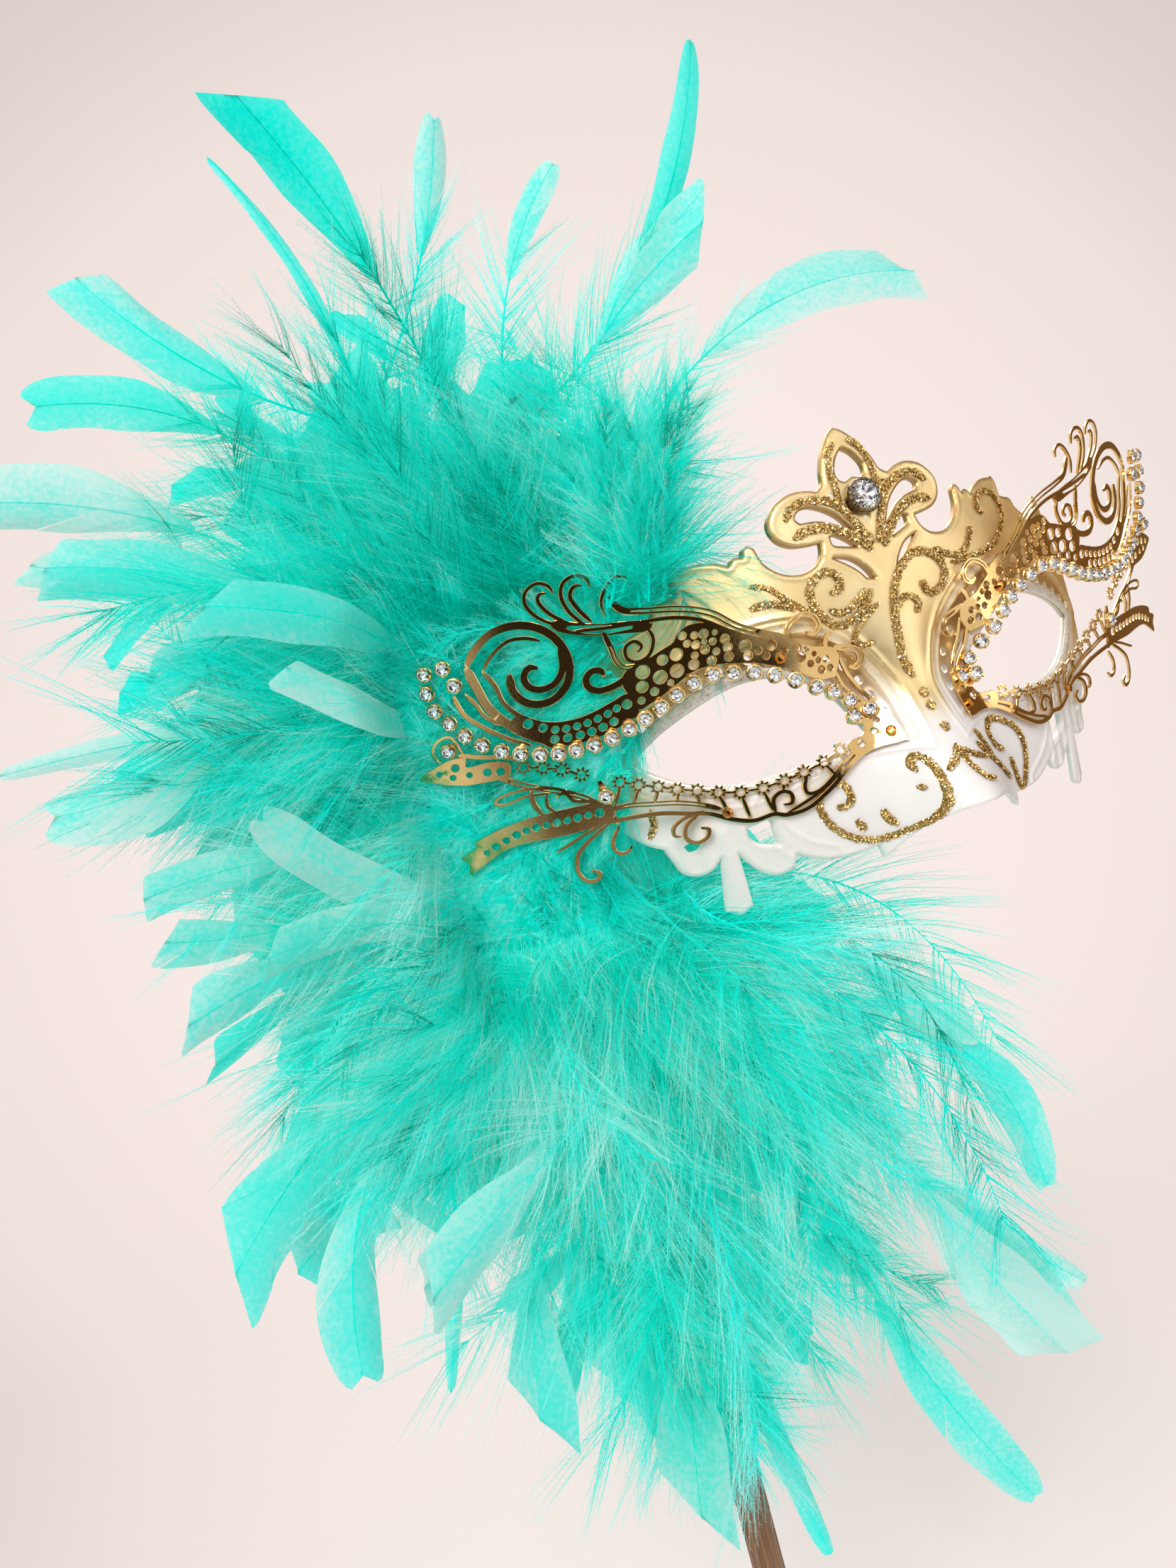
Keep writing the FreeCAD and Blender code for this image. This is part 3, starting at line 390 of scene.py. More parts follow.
FOREHEAD_GLITTER = [
    (1.7, [(13.8, 33), (12, 33), (11.1, 34.6), (11.6, 36.5), (13.5, 37.7), (16, 37), (18, 34.8),
           (18, 31.4), (16.8, 28.4), (14.4, 26), (11.8, 25.5), (9, 26.6), (6.6, 28.8),
           (5, 31.2)]),
    (1.5, [(14.8, 29.6), (13.2, 28.2), (11, 28.2), (8.2, 29.8), (6, 31.4)]),
    (1.2, [(4.2, 27.8), (7.2, 26), (10, 23.6), (11, 21.3), (9.8, 20), (7, 20)]),
    (1.1, [(29.5, 39.8), (26, 38), (23.8, 35.3), (21.3, 32.4), (19.5, 30.6)]),
    (1.5, [(30.8, 35), (27.6, 35), (24.6, 33.8), (22, 32.2)]),
    (1.7, [(1, 10), (2, 14), (1.9, 18), (1.5, 22), (0.8, 26), (-0.5, 29.5), (-3, 33.2),
           (-7, 35.8), (-11, 35.6), (-14, 33.4), (-15.2, 30.5), (-13.8, 27.5), (-11, 26.2),
           (-8.7, 27.2), (-8.2, 29.6)]),
    (1.4, [(0.6, 25), (-2, 27.2), (-4.4, 26.9), (-5.7, 25), (-4.6, 23.2)]),
    (1.3, [(-14, 35.6), (-17, 33.6), (-20.5, 32.8), (-24, 34), (-27, 38)]),
    (1.3, [(-18, 31.4), (-24, 31.4), (-30, 31.8), (-35, 33.6), (-39.6, 37), (-41, 41),
           (-39.4, 44), (-36.4, 45), (-33, 44.2), (-31.6, 41.8), (-33, 40)]),
]
FACE_GLITTER = [
    (1.4, [(9.3, -9.2), (9.6, -7.2), (8.2, -6), (6.7, -8), (6, -12), (6.8, -16.8), (9.6, -19.8),
           (14, -21.3), (19, -21.9), (23.6, -19.8), (27, -16), (28.4, -11.4), (27.2, -8.2),
           (24.6, -7), (22.4, -8.2), (21.8, -11), (23, -12.8), (25, -12.3)]),
    (1.7, [(21.8, -16.4), (20.8, -19)]),
    (1.5, [(16.6, -15.6), (16.4, -17.4), (15.2, -19.6)]),
    (1.8, [(9.9, -12.2), (9.4, -13.3)]),
    (1.3, [(0.1, -6), (1.6, -8.2), (4.4, -10.8)]),
    (1.2, [(0.4, -6.8), (-2.4, -9), (-6.2, -10.8)]),
    (1.2, [(0.2, -7.4), (-0.4, -11), (-2.4, -14.2), (-5, -15.4)]),
    (1.3, [(-5.6, -7.4), (-8, -11), (-12, -14.8), (-16, -19)]),
    (1.2, [(-7.4, -5), (-8.6, -8), (-9.6, -11.4)]),
    (1.4, [(-16.6, -12.4), (-13.6, -10.5), (-12.8, -7.2), (-15.4, -4.8), (-19, -6), (-23, -9),
           (-25, -13), (-24.4, -18), (-22, -22.6), (-20, -22), (-19.4, -19), (-18.6, -15)]),
    (1.1, [(60.4, -1.4), (60.4, -5), (62, -8)]),
]
DOTS = [(-0.2, 6.2), (-0.3, 3.2), (-0.2, -1.8)]
DOT_R = 1.1
CHAIN = [
    (11.8, 6), (16.1, 5.6), (15.8, 9.5), (19.7, 12.4), (23.2, 14.7), (26.9, 17.4), (30.6, 19.8),
    (34.6, 21.8), (38.7, 23.2), (43.1, 24.2), (47.4, 23.9), (51.1, 22.5), (54.9, 20.9),
    (58.4, 19.5), (62, 18.5), (65.8, 17.6), (69.6, 17.3), (73.4, 17.4), (77, 17.8), (80.7, 18.8),
    (84.5, 20.3), (88.1, 22.1), (91.5, 24.7), (94.4, 27.9), (96.7, 31.5), (98.9, 35.2),
    (99.4, 39.4), (98.9, 43.6), (95, 43.5), (93.7, 39.2), (98.5, 25.7), (69.9, 5.4)]
RIBBONS = [
    (1.8, [(26.5, 27), (31, 29.3), (36, 32.5), (40, 36.2), (43.5, 38.3), (48, 40), (54, 41.6),
           (58, 43.2), (60.2, 46.8)]),
    (1.1, [(27.5, 25.8), (33, 28.8), (38, 32.2), (43, 36), (49, 38.4), (56, 39.6), (62, 40.6),
           (68, 42)]),
    (1.5, [(26.8, 25), (25.4, 28.6), (22.2, 30.4), (19.6, 29.4), (18.9, 27.2), (20.4, 25.8),
           (22.2, 26.6)]),
    (1.2, [(18.2, 20.5), (18.4, 23), (17.4, 24.8), (16.4, 24.4)]),
    (1.8, [(16.8, 21.6), (14, 20.6), (11.6, 19.6), (10.9, 17.6), (12.2, 16), (14, 16.6)]),
    (1, [(15.6, 19), (14.6, 15.6), (12.6, 11.6), (10.4, 7.6), (9, 3.6), (8.4, -1.4)]),
    (0.9, [(17.4, 17), (16, 13), (13.4, 9.6), (11, 5.6), (10.2, 1)]),
    (3.2, [(53, 38), (58, 39.4), (63, 40.6), (68, 42.6), (72, 45)]),
    (1, [(69.6, 43.4), (74, 46.8), (76, 50.4), (75.4, 53), (73, 54), (70.9, 52.8), (70.2, 51)]),
    (1.1, [(68.8, 44), (71.8, 47), (73.4, 50), (73, 51.6), (71.6, 51.5)]),
    (1.1, [(65.6, 42.4), (68, 46), (68.9, 49.6), (68, 52.2), (65.6, 53), (63.4, 51.8),
           (63, 49.6)]),
    (1.2, [(64.2, 42.6), (66.2, 46), (67.2, 49), (66.2, 50.8), (64.4, 50.6)]),
    (1, [(61.4, 43), (61.6, 46), (59.8, 48.8), (57.4, 50), (55.6, 49), (55.6, 47.4)]),
    (1.5, [(62.6, 40), (61.8, 36), (61.4, 33.2), (59.8, 31.2), (56, 30.9), (51, 32.2),
           (47.6, 32.8)]),
    (1.1, [(54, 38), (53.2, 35.4), (54.6, 32.4), (57.2, 31.6), (59.2, 33), (59, 35.4), (57, 36),
           (55.8, 34.6), (56.8, 33.6)]),
    (1.9, [(59, 29.6), (62.6, 28.3), (66, 28.2), (68, 29.6), (68.1, 31.6), (66.6, 32.7),
           (64.9, 32.2), (64.4, 30.8)]),
    (2.4, [(90.6, 42), (89.6, 37), (88.6, 32.6), (86, 28), (82, 23.6), (77.6, 20.4)]),
    (2.2, [(90.4, 42), (88.4, 44.6), (84.6, 47), (80.4, 47.4), (76.2, 46), (72.8, 43), (70.9, 39),
           (70.7, 35), (72, 31.8), (75, 29.6), (78.4, 29.4), (81.2, 31), (82.8, 34),
           (82.6, 37.8)]),
    (1.9, [(71.6, 40), (72, 35.6), (74, 32.9), (77, 32.3), (79.4, 33.6), (80, 36), (78.6, 37.6),
           (76.8, 37)]),
    (1.3, [(87.6, 40), (85.9, 36), (85.2, 32), (82.4, 27.8), (79, 25.4)]),
    (1.1, [(87.6, 40), (85.4, 42.4), (81.6, 44.4), (78, 44), (75, 42.4)]),
    (1.2, [(94.6, 37), (93.6, 32.4), (90.6, 28.4), (86, 24), (82, 21.2)]),
    (1.1, [(92.2, 36.6), (90.6, 33.4), (89.6, 30.6), (87, 27.6)]),
    (1.4, [(97, 24), (93, 22.2), (88, 20.4), (84, 18.4)]),
    (1.5, [(71, 2), (66, 1.7), (61, 0.4), (56, -1), (51, -3.2), (47.4, -5.4)]),
    (1.3, [(72, -0.6), (66, -1.2), (60, -2.2), (54, -4.2), (50, -5.6), (46, -8.2), (42, -9.8),
           (38, -9.6), (35.4, -10.6), (31, -10.4), (26, -7.8), (22, -5), (18, -2.6), (13.6, -1.7),
           (8.8, -2)]),
    (1, [(35.4, -10.2), (30, -8.4), (26, -6.2), (22, -3.2), (18.6, -1.6)]),
    (1.2, [(37.6, -9.6), (37.4, -6.4), (35.4, -5.2), (33.8, -6.2), (34, -8.2), (35.6, -8.2)]),
    (1.1, [(22, -4), (27, -7), (30.2, -7.4), (30.8, -5.6), (29.6, -3)]),
    (1, [(51, -4.6), (55, -4.8), (57.8, -6.2), (58.2, -8.2), (56.8, -8.8)]),
    (1.2, [(52, -4.8), (55.2, -6.6), (56, -9.4), (54.2, -11.2), (51.8, -10.8), (51, -9),
           (52.4, -8.2)]),
    (2, [(70.6, 9), (70.2, 5), (70, 1), (69, -1.6)]),
    (1.7, [(70.4, 2), (74, 6), (79, 9.4), (85, 12.6), (91, 17)]),
    (0.9, [(76, 7.6), (80, 10.4), (86, 12), (91, 11.9), (92.4, 10.8), (90.4, 9.9), (86, 10.4),
           (81, 9.6)]),
    (1.5, [(84.6, 11.4), (84.8, 8.4), (83.6, 5.2)]),
    (1, [(81.6, 9.6), (82.2, 7), (80.6, 4.6)]),
    (1.1, [(72, 5), (76.4, 6.2), (78, 8.8), (80, 8.2)]),
    (1.2, [(71, -1), (75, -3.2), (78.6, -6), (79.6, -9.6), (78.6, -12.4), (76.4, -13.2),
           (75.2, -11.8), (76.8, -10.6)]),
    (0.9, [(71.6, -0.6), (76, -1.8), (80.4, -3.4), (83, -4.2)]),
    (1.1, [(69, -2.4), (71, -5.4), (70.8, -8), (68.8, -8.8), (67.4, -7.6)]),
    (0.9, [(96, 24), (97.6, 28.4), (100.6, 28.2), (102, 26), (101, 23.4)]),
]
BROW_LATTICE = [
    (17.6, 15.2), (15.8, 19), (17, 21.8), (21.4, 23.4), (26, 26.4), (31, 28.4), (36, 31),
    (41, 34.6), (45, 35.8), (48, 35), (50, 33), (55, 31.6), (60, 30.6), (61.4, 28), (60.6, 25),
    (59.6, 21.6), (55, 22.6), (51, 24.2), (47, 25.8), (43, 26), (38.4, 25), (34, 23.6),
    (30, 21.6), (26, 19), (22, 16)]
LATTICE_HOLES = [
    (24.7, 24, 0.9), (22.9, 23, 0.6), (24.4, 21.8, 1), (21.4, 21.6, 0.5), (22.7, 19.8, 0.7),
    (20.8, 20, 0.6), (19, 19.8, 0.7), (20.6, 17.8, 0.8), (18.4, 17.6, 0.7), (32.7, 26, 0.8),
    (29.8, 26.2, 1), (31.3, 24.3, 0.7), (27.4, 24.2, 0.7), (39, 30.6, 0.9), (38.8, 28.7, 0.9),
    (41.3, 28.6, 0.7), (41.6, 30.9, 0.7), (40.8, 32.6, 0.5), (43.5, 29.8, 0.9), (43.1, 33, 0.9),
    (43.3, 31.4, 0.5), (45.1, 31.3, 0.8), (45.8, 29.2, 0.7), (45, 33.3, 0.7), (46.8, 32.1, 0.7),
    (47.4, 34, 0.8), (35.2, 27.8, 1.2), (35, 25.6, 0.9), (39, 26.7, 0.9), (42.6, 27, 0.9),
    (46.4, 27.4, 1), (49.4, 30.6, 1.2), (52.4, 30.4, 1), (50, 27.2, 1.3), (53.6, 27, 1.3),
    (56.8, 29.2, 1.3), (57.6, 26.2, 1.1), (55.4, 24.4, 0.8), (58.4, 23.4, 0.7), (51.8, 25.2, 0.6)]
WING_BAND = [
    (59, 20.6), (60.6, 25.6), (64, 25.2), (68, 24.3), (72, 24), (76, 24.6), (80, 26.4),
    (83, 28.6), (85, 26.8), (81, 22.6), (78.4, 19.4), (74, 18.6), (69, 18.4), (64, 19.2)]
BAND_HOLES = [
    (61.4, 23.6, 0.9), (63.6, 23.4, 0.7), (65.6, 22.9, 0.7), (67.8, 22.5, 0.7), (70, 22.3, 0.7),
    (72.2, 22.3, 0.7), (74.4, 22.5, 0.7), (76.6, 23, 0.7), (78.9, 24.2, 0.8), (81.6, 26, 0.9),
    (64.8, 20.8, 0.8), (67.2, 20.4, 0.8), (69.6, 20.2, 0.8), (72, 20.2, 0.8), (74.6, 20.5, 0.8),
    (77.2, 21, 0.8)]
FISHTAIL = [
    (69.6, -0.8), (80, -0.9), (88, -0.2), (93, -0.4), (97, -2), (101.6, -4), (101.2, -1.4),
    (102.6, 0.6), (99, 1.8), (98.4, 3.4), (93, 4.8), (87, 5.4), (80, 5.2), (74, 4.8), (70, 4.4)]
FISHTAIL_HOLES = [
    (72.2, 2, 0.9), (74.6, 2.2, 0.7), (76.8, 2.3, 0.8), (79, 2.4, 0.7), (81.2, 2.6, 0.8),
    (83.4, 2.7, 0.7), (85.6, 2.8, 0.8), (87.8, 2.7, 0.7), (90, 2.4, 0.8), (92.4, 1.8, 0.7),
    (94.8, 1, 0.8), (97, 0.2, 0.6)]
LEAF = [
    (88, 15.6), (87.4, 18.8), (91, 20.4), (96, 20.8), (95.8, 23), (100, 23.4), (106, 21.4),
    (103.4, 19.4), (98, 17), (92, 16)]
LEAF_HOLES = [
    (92.3, 18.3, 0.8), (96, 18.9, 0.6), (98.4, 21.4, 0.8), (99.4, 19.4, 0.6), (89.6, 17.6, 0.8),
    (102, 21, 0.6)]
INNER_PLATE = [
    (8.2, -2.4), (8.6, 2.4), (10, 6.4), (12.6, 8.2), (16.4, 7.2), (17.6, 4.6), (14.6, 3.6),
    (15.4, 1.4), (19.4, 0.6), (18.6, -2.4), (13.4, -1.4)]
INNER_HOLES = [(13, 1.4, 0.7), (11.6, 3.6, 0.6), (16.6, -0.4, 0.8)]
STARS = [
    (21.6, -0.1), (25.7, -1.6), (30.2, -2.4), (34.4, -3), (38.8, -3.2), (43.2, -2.8),
    (47.4, -1.4), (51.5, 0.4), (55.5, 2), (59.2, 3.8), (63, 5.6), (66.6, 7.4)]
UPPER_STARS = [(73.8, 11.6), (77.4, 14), (81, 15.6), (84.8, 17)]
STAR_R = 1.75
STAR_HOLE = 0.85
STAR_POSTS = [
    [(25.7, -2), (24, -5.6)], [(34.4, -3.6), (35.4, -5.6)], [(38.8, -4), (38, -9)],
    [(43.2, -3.4), (42.6, -9)], [(47.4, -2), (46.4, -6.4)], [(51.5, 0), (51.6, -3)],
    [(55.5, 1.4), (56, -1)], [(59.2, 3.2), (60.6, 0.6)], [(63, 5), (65, 1.6)],
    [(66.6, 6.8), (69, 2)]]
CROWN_HOLE = [(-1, 46.9), (1, 46.9), (0, 44.8)]
# raised line round the whole eye socket, and the crease of the cheek
SOCKET = joined(
    [(4.1, -5.3), (3.4, 0), (3.5, 8), (6.1, 15), (8.5, 19.5), (12, 24), (16, 27.3), (20, 29.6),
     (25, 31.2), (32, 31.8), (40, 31), (50, 28), (58, 24), (64, 20), (69, 14), (70, 9)],
    [(66, 6), (60, 1), (50, -4.5), (40, -6.5), (30, -5), (20, -3), (15, -3.3), (9, -4),
     (4.1, -5.3)])
CHEEK = [(39, -7.6), (38.6, -11), (37, -15.6), (33, -20), (28, -23)]


# ---------------------------------------------------------------- curved sheets
CURVE_STEPS = 12
TRIANGLE_HEIGHT = 0.866
BORDER_ROOM = 0.42
FAR = 1e9


def shell_front(x, z):
    """Depth of the front of the moulded face."""
    ramp = (7.4 - z) / 37.0
    ramp = 0.5 * (ramp + np.sqrt(ramp * ramp + 0.01))
    nose = 22.7 * ramp * np.exp(-(x / 12.6) ** 2)
    side = np.sqrt(x * x + 4.0)
    socket = 5.0 * np.exp(-((side - 13.0) / 8.0) ** 2 - ((z - 10.0) / 13.0) ** 2)
    return 0.0070 * x * x - 0.077 * z + 0.00196 * z * z - nose + socket


def metal_front(x, z):
    """Depth of the front of the filigree."""
    bow = 5.9 + 0.00355 * x * x - 0.22 * z
    face = shell_front(x, z) - METAL_T - 0.9
    half = 0.5 * (bow - face)
    return 0.5 * (bow + face) - np.sqrt(half * half + 0.3) - 0.1


def out_of(depth, x, z):
    """Unit vector that faces out of a sheet."""
    step = 0.5
    slope_x = (depth(x + step, z) - depth(x - step, z)) / (2 * step)
    slope_z = (depth(x, z + step) - depth(x, z - step)) / (2 * step)
    return unit(np.stack([slope_x, -np.ones_like(slope_x), slope_z], axis=-1))


def smooth_line(points, spacing):
    """Evenly spaced points on a Catmull-Rom curve."""
    p = np.array(points, dtype=float)
    if len(p) == 2:
        count = max(1, int(np.linalg.norm(p[1] - p[0]) / spacing))
        return p[0] + (p[1] - p[0]) * np.linspace(0, 1, count + 1)[:, None]
    ends = np.vstack([p[:1], p, p[-1:]])
    t = np.linspace(0, 1, CURVE_STEPS, endpoint=False)[:, None]
    out = []
    for i in range(len(p) - 1):
        p0, p1, p2, p3 = ends[i:i + 4]
        out.append(0.5 * (2 * p1 + (p2 - p0) * t + (2 * p0 - 5 * p1 + 4 * p2 - p3) * t * t
                          + (3 * p1 - p0 - 3 * p2 + p3) * t ** 3))
    fine = np.vstack(out + [p[-1:]])
    gone = np.concatenate([[0], np.cumsum(np.linalg.norm(np.diff(fine, axis=0), axis=1))])
    count = max(2, int(round(gone[-1] / spacing)))
    at = np.linspace(0, gone[-1], count + 1)
    return np.stack([np.interp(at, gone, fine[:, a]) for a in (0, 1)], axis=1)


def closed_loop(runs, spacing=0.55):
    return np.vstack([smooth_line(run, spacing)[:-1] for run in runs])


def mirror_runs(runs):
    return [[(-p[0], p[1]) for p in reversed(run)] for run in reversed(runs)]


def ring(x, z, radius, count=14):
    a = np.linspace(0, 2 * math.pi, count, endpoint=False)
    return np.stack([x + radius * np.cos(a), z + radius * np.sin(a)], axis=1)


def ring_around(loop):
    return np.vstack([loop, loop[:1]])


def box_holds(line, room, points):
    """True for points in the upright box around a line, with some room."""
    low, high = line.min(axis=0) - room, line.max(axis=0) + room
    return np.all((points > low) & (points < high), axis=1)


def inside(points, loops):
    """Even-odd test of points against closed loops."""
    hit = np.zeros(len(points), dtype=bool)
    for loop in loops:
        a, b = loop, np.roll(loop, -1, axis=0)
        near = np.where(box_holds(loop, 0.01, points))[0]
        for part in np.array_split(near, max(1, len(near) // 3000)):
            x, z = points[part, 0][:, None], points[part, 1][:, None]
            spans = (a[:, 1] > z) != (b[:, 1] > z)
            with np.errstate(divide="ignore", invalid="ignore"):
                cross = (b[:, 0] - a[:, 0]) * (z - a[:, 1]) / (b[:, 1] - a[:, 1]) + a[:, 0]
            hit[part] ^= (np.sum(spans & (x < cross), axis=1) % 2) == 1
    return hit


def distance_to(points, line):
    """Distance from points to an open polyline."""
    best = np.full(len(points), FAR)
    a, d = line[:-1], np.diff(line, axis=0)
    size = np.maximum((d * d).sum(axis=1), 1e-9)
    for part in np.array_split(np.arange(len(points)), max(1, len(points) // 4000)):
        rel = points[part][:, None] - a[None]
        t = np.clip((rel * d).sum(axis=2) / size, 0, 1)
        gap = rel - t[..., None] * d
        best[part] = np.sqrt((gap * gap).sum(axis=2)).min(axis=1)
    return best


def triangulate(loops, cells, tolerance):
    """Triangles over closed loops and loose cells; gives the points and the triangles."""
    edges, start = [], 0
    for loop in loops:
        edges += [(start + i, start + (i + 1) % len(loop)) for i in range(len(loop))]
        start += len(loop)
    corners = [Vector(p) for p in np.vstack(loops + cells)]
    made = delaunay_2d_cdt(corners, edges, [], 0, tolerance)
    points = np.array([tuple(v) for v in made[0]])
    return points, np.array([f for f in made[2] if len(f) == 3])


def turn_alike(points, faces):
    """Turns all triangles the same way round; gives twice their areas."""
    a, b, c = (points[faces[:, i]] for i in range(3))
    area = (b[:, 0] - a[:, 0]) * (c[:, 1] - a[:, 1]) - (b[:, 1] - a[:, 1]) * (c[:, 0] - a[:, 0])
    faces[area < 0] = faces[area < 0][:, ::-1]
    return np.abs(area)


def cut_sheet(loops, grid):
    """Even triangles inside closed loops."""
    low, high = loops[0].min(axis=0), loops[0].max(axis=0)
    xs = np.arange(low[0], high[0], grid)
    zs = np.arange(low[1], high[1], grid * TRIANGLE_HEIGHT)
    gx, gz = np.meshgrid(xs, zs)
    gx = gx + (np.arange(len(zs)) % 2)[:, None] * grid * 0.5
    cells = np.stack([gx.ravel(), gz.ravel()], axis=1)
    cells = cells[inside(cells, loops)]
    gap = np.full(len(cells), FAR)
    for loop in loops:
        near = box_holds(loop, 1, cells)
        gap[near] = np.minimum(gap[near], distance_to(cells[near], ring_around(loop)))
    points, faces = triangulate(loops, [cells[gap > BORDER_ROOM * grid]], 1e-5)
    faces = faces[inside(points[faces].mean(axis=1), loops)]
    turn_alike(points, faces)
    return points, faces


def border_edges(faces):
    """Directed edges that belong to one triangle only."""
    pairs = np.vstack([faces[:, [0, 1]], faces[:, [1, 2]], faces[:, [2, 0]]])
    key = np.sort(pairs, axis=1)
    _, first, count = np.unique(key, axis=0, return_index=True, return_counts=True)
    return pairs[first[count == 1]]


def solid_sheet(name, points, faces, front, back, made, node, sharp, tones=None):
    """Closed solid between a front and a back depth that share one triangulation."""
    used = np.unique(faces)
    count = len(used)
    renumber = np.full(len(points), -1)
    renumber[used] = np.arange(count)
    faces = renumber[faces]
    tones = np.zeros((len(points), 4)) if tones is None else tones
    sheets = [np.stack([points[:, 0], y, points[:, 1]], axis=1)[used] for y in (front, back)]
    rim = border_edges(faces)
    walls = np.stack([rim[:, 1], rim[:, 0], rim[:, 0] + count, rim[:, 1] + count], axis=1)
    all_faces = faces.tolist() + (faces[:, ::-1] + count).tolist() + walls.tolist()
    piece = mesh_piece(name, np.vstack(sheets), all_faces, made, node,
                       tones=np.vstack([tones[used]] * 2))
    piece.data.set_sharp_from_angle(angle=math.radians(sharp))
    print(name, len(all_faces))


# ---------------------------------------------------------------- moulded face
OUTER = closed_loop(HALF_OUTLINE + mirror_runs(HALF_OUTLINE))
EYES = [closed_loop(EYE_HOLE), closed_loop(mirror_runs(EYE_HOLE))]
SHELL_GRID = 0.46
SHELL_SHARP = 35.0
# small holes have no raised border
SMALL_LOOP = 20
NO_BORDER = 0.9


def face_holes():
    holes = [*EYES, closed_loop(TEARDROP + mirror_runs(TEARDROP)), np.array(CROWN_HOLE)]
    for side in (1, -1):
        for runs in [LOBE_CRESCENT, LOWER_WEDGE, THIN_CRESCENT] + PETAL_HOLES:
            holes.append(closed_loop(runs if side > 0 else mirror_runs(runs)))
        holes.append(np.array([(side * u, z) for u, z in WEDGE]))
        holes += [ring(side * u, z, OVAL_R) for u, z in OVALS]
    return holes


def bell(distance, middle, width):
    return np.exp(-((distance - middle) / width) ** 2)


def step_up(value, low, high):
    t = np.clip((value - low) / (high - low), 0, 1)
    return t * t * (3 - 2 * t)


def shell_relief(points, edge):
    """Height of the moulded detail, with tones for gold, pearl glitter and painted shade in the
    hollows and along the cut edges.
    """
    u, z = np.abs(points[:, 0]), points[:, 1]
    folded = np.stack([u, z], axis=1)
    loop = closed_loop(SOCKET, 0.8)
    socket = distance_to(folded, ring_around(loop))
    socket = np.where(inside(folded, [loop]), socket, -socket)
    eye = distance_to(folded, ring_around(EYES[0]))
    cheek = distance_to(folded, smooth_line(CHEEK, 0.8))
    petal = step_up(-z, 9.5, 11.5) * step_up(u, 35.0, 37.0)

    height = 0.13 * bell(edge, 0.9, 0.5) - 0.5 * (1 - step_up(edge, 0.0, 0.6))
    height += 0.40 * bell(socket, 0.0, 0.55) + 0.26 * bell(socket, 1.45, 0.5)
    height += 0.26 * bell(socket, 3.5, 0.5)
    height -= 0.35 * step_up(socket, 3.7, 4.3)
    height += 0.30 * bell(cheek, 2.4, 0.55) + 0.12 * bell(cheek, 0.0, 1.3)
    height += 0.28 * petal * np.cos(1.6 * (u - 48.0)) * (eye > 4)

    pearl = np.maximum((socket > 1.8) & (socket < 3.2), petal)
    pearl = np.maximum(pearl, (cheek < 2.2) * 0.9)
    pearl = np.maximum(pearl, (eye < 3.4) & (socket > 0))
    gold = step_up(z, -3.0, 7.5)
    gold = np.maximum(gold, step_up(z, -8, 12) * step_up(-u, -4, 4) * 0.4)
    gold = gold * (1 - 0.8 * (socket > 1.0) * step_up(-z, -16.0, -2.0))
    gold = gold * (1 - petal)
    # painted shade: darker in the hollow past the socket ridges and along every cut edge
    hollow_shade = step_up(socket, 3.7, 4.3) * 0.6 + bell(edge, 0.0, 0.5)
    return height, np.stack([gold, pearl, hollow_shade, np.ones_like(u)], axis=1)


def face_material():
    """White paint that turns to gold upward, with pearl glitter in the bands and painted brown
    shade in the hollows and along the cut edges of the gold.
    """
    nodes = material("moulded_face_paint")
    gold, pearl, hollow_shade, _ = nodes.tones()
    cloud = nodes.noise(60.0, 4.0)
    grain = nodes.noise(1800.0, 2.0)
    glints = nodes.ramp(nodes.cells(2600.0)["Distance"],
                        (0.0, 1, 1, 1), (0.28, 0.25, 0.25, 0.25), (0.5, 0, 0, 0))
    gold_paint = nodes.ramp(cloud, (0.3, 0.80, 0.57, 0.24), (0.5, 0.88, 0.67, 0.33),
                            (0.7, 0.92, 0.74, 0.42))
    # the gold turns brown where the hollow shade tone is high: painted shade
    shaded_gold = nodes.mix(hollow_shade, gold_paint, (0.42, 0.22, 0.05))
    white = nodes.ramp(cloud, (0.3, 0.88, 0.84, 0.815), (0.7, 0.94, 0.91, 0.89))
    fade = nodes.math("ADD", gold, nodes.span(cloud, 0.3, 0.7, -0.12, 0.12))
    fade = nodes.math("MULTIPLY", fade, nodes.span(gold, 0.0, 0.05))
    pearl_paint = nodes.mix(gold, (0.86, 0.82, 0.78), (0.86, 0.74, 0.52))
    colour = nodes.mix(fade, white, shaded_gold)
    colour = nodes.mix(nodes.math("MULTIPLY", pearl, 0.85), colour, pearl_paint)
    metal = nodes.math("MULTIPLY", nodes.math("MULTIPLY", fade, 0.72),
                       nodes.span(pearl, 0.0, 1.0, 1.0, 0.35))
    height = nodes.math("ADD", nodes.math("MULTIPLY", grain, 0.25),
                        nodes.math("MULTIPLY", glints, pearl))
    return nodes.finish(nodes.principled(
        Base_Color=colour, Metallic=metal, Coat_Weight=0.15, Coat_Roughness=0.25,
        Roughness=nodes.span(nodes.noise(240.0), 0.3, 0.7, 0.34, 0.44),
        Normal=nodes.bump(height, 0.55, 0.00012)))


def mask_face():
    loops = [OUTER] + face_holes()
    points, faces = cut_sheet(loops, SHELL_GRID)
    edge = np.full(len(points), FAR)
    for loop in loops:
        near = box_holds(loop, 3, points)
        gap = distance_to(points[near], ring_around(loop))
        edge[near] = np.minimum(edge[near], gap + (NO_BORDER if len(loop) < SMALL_LOOP else 0.0))
    height, tones = shell_relief(points, edge)
    y = shell_front(points[:, 0], points[:, 1])
    solid_sheet("mask_face", points, faces, y - height, y + SHELL_T, face_material(),
                "mask_shell", SHELL_SHARP, tones)


mask_face()


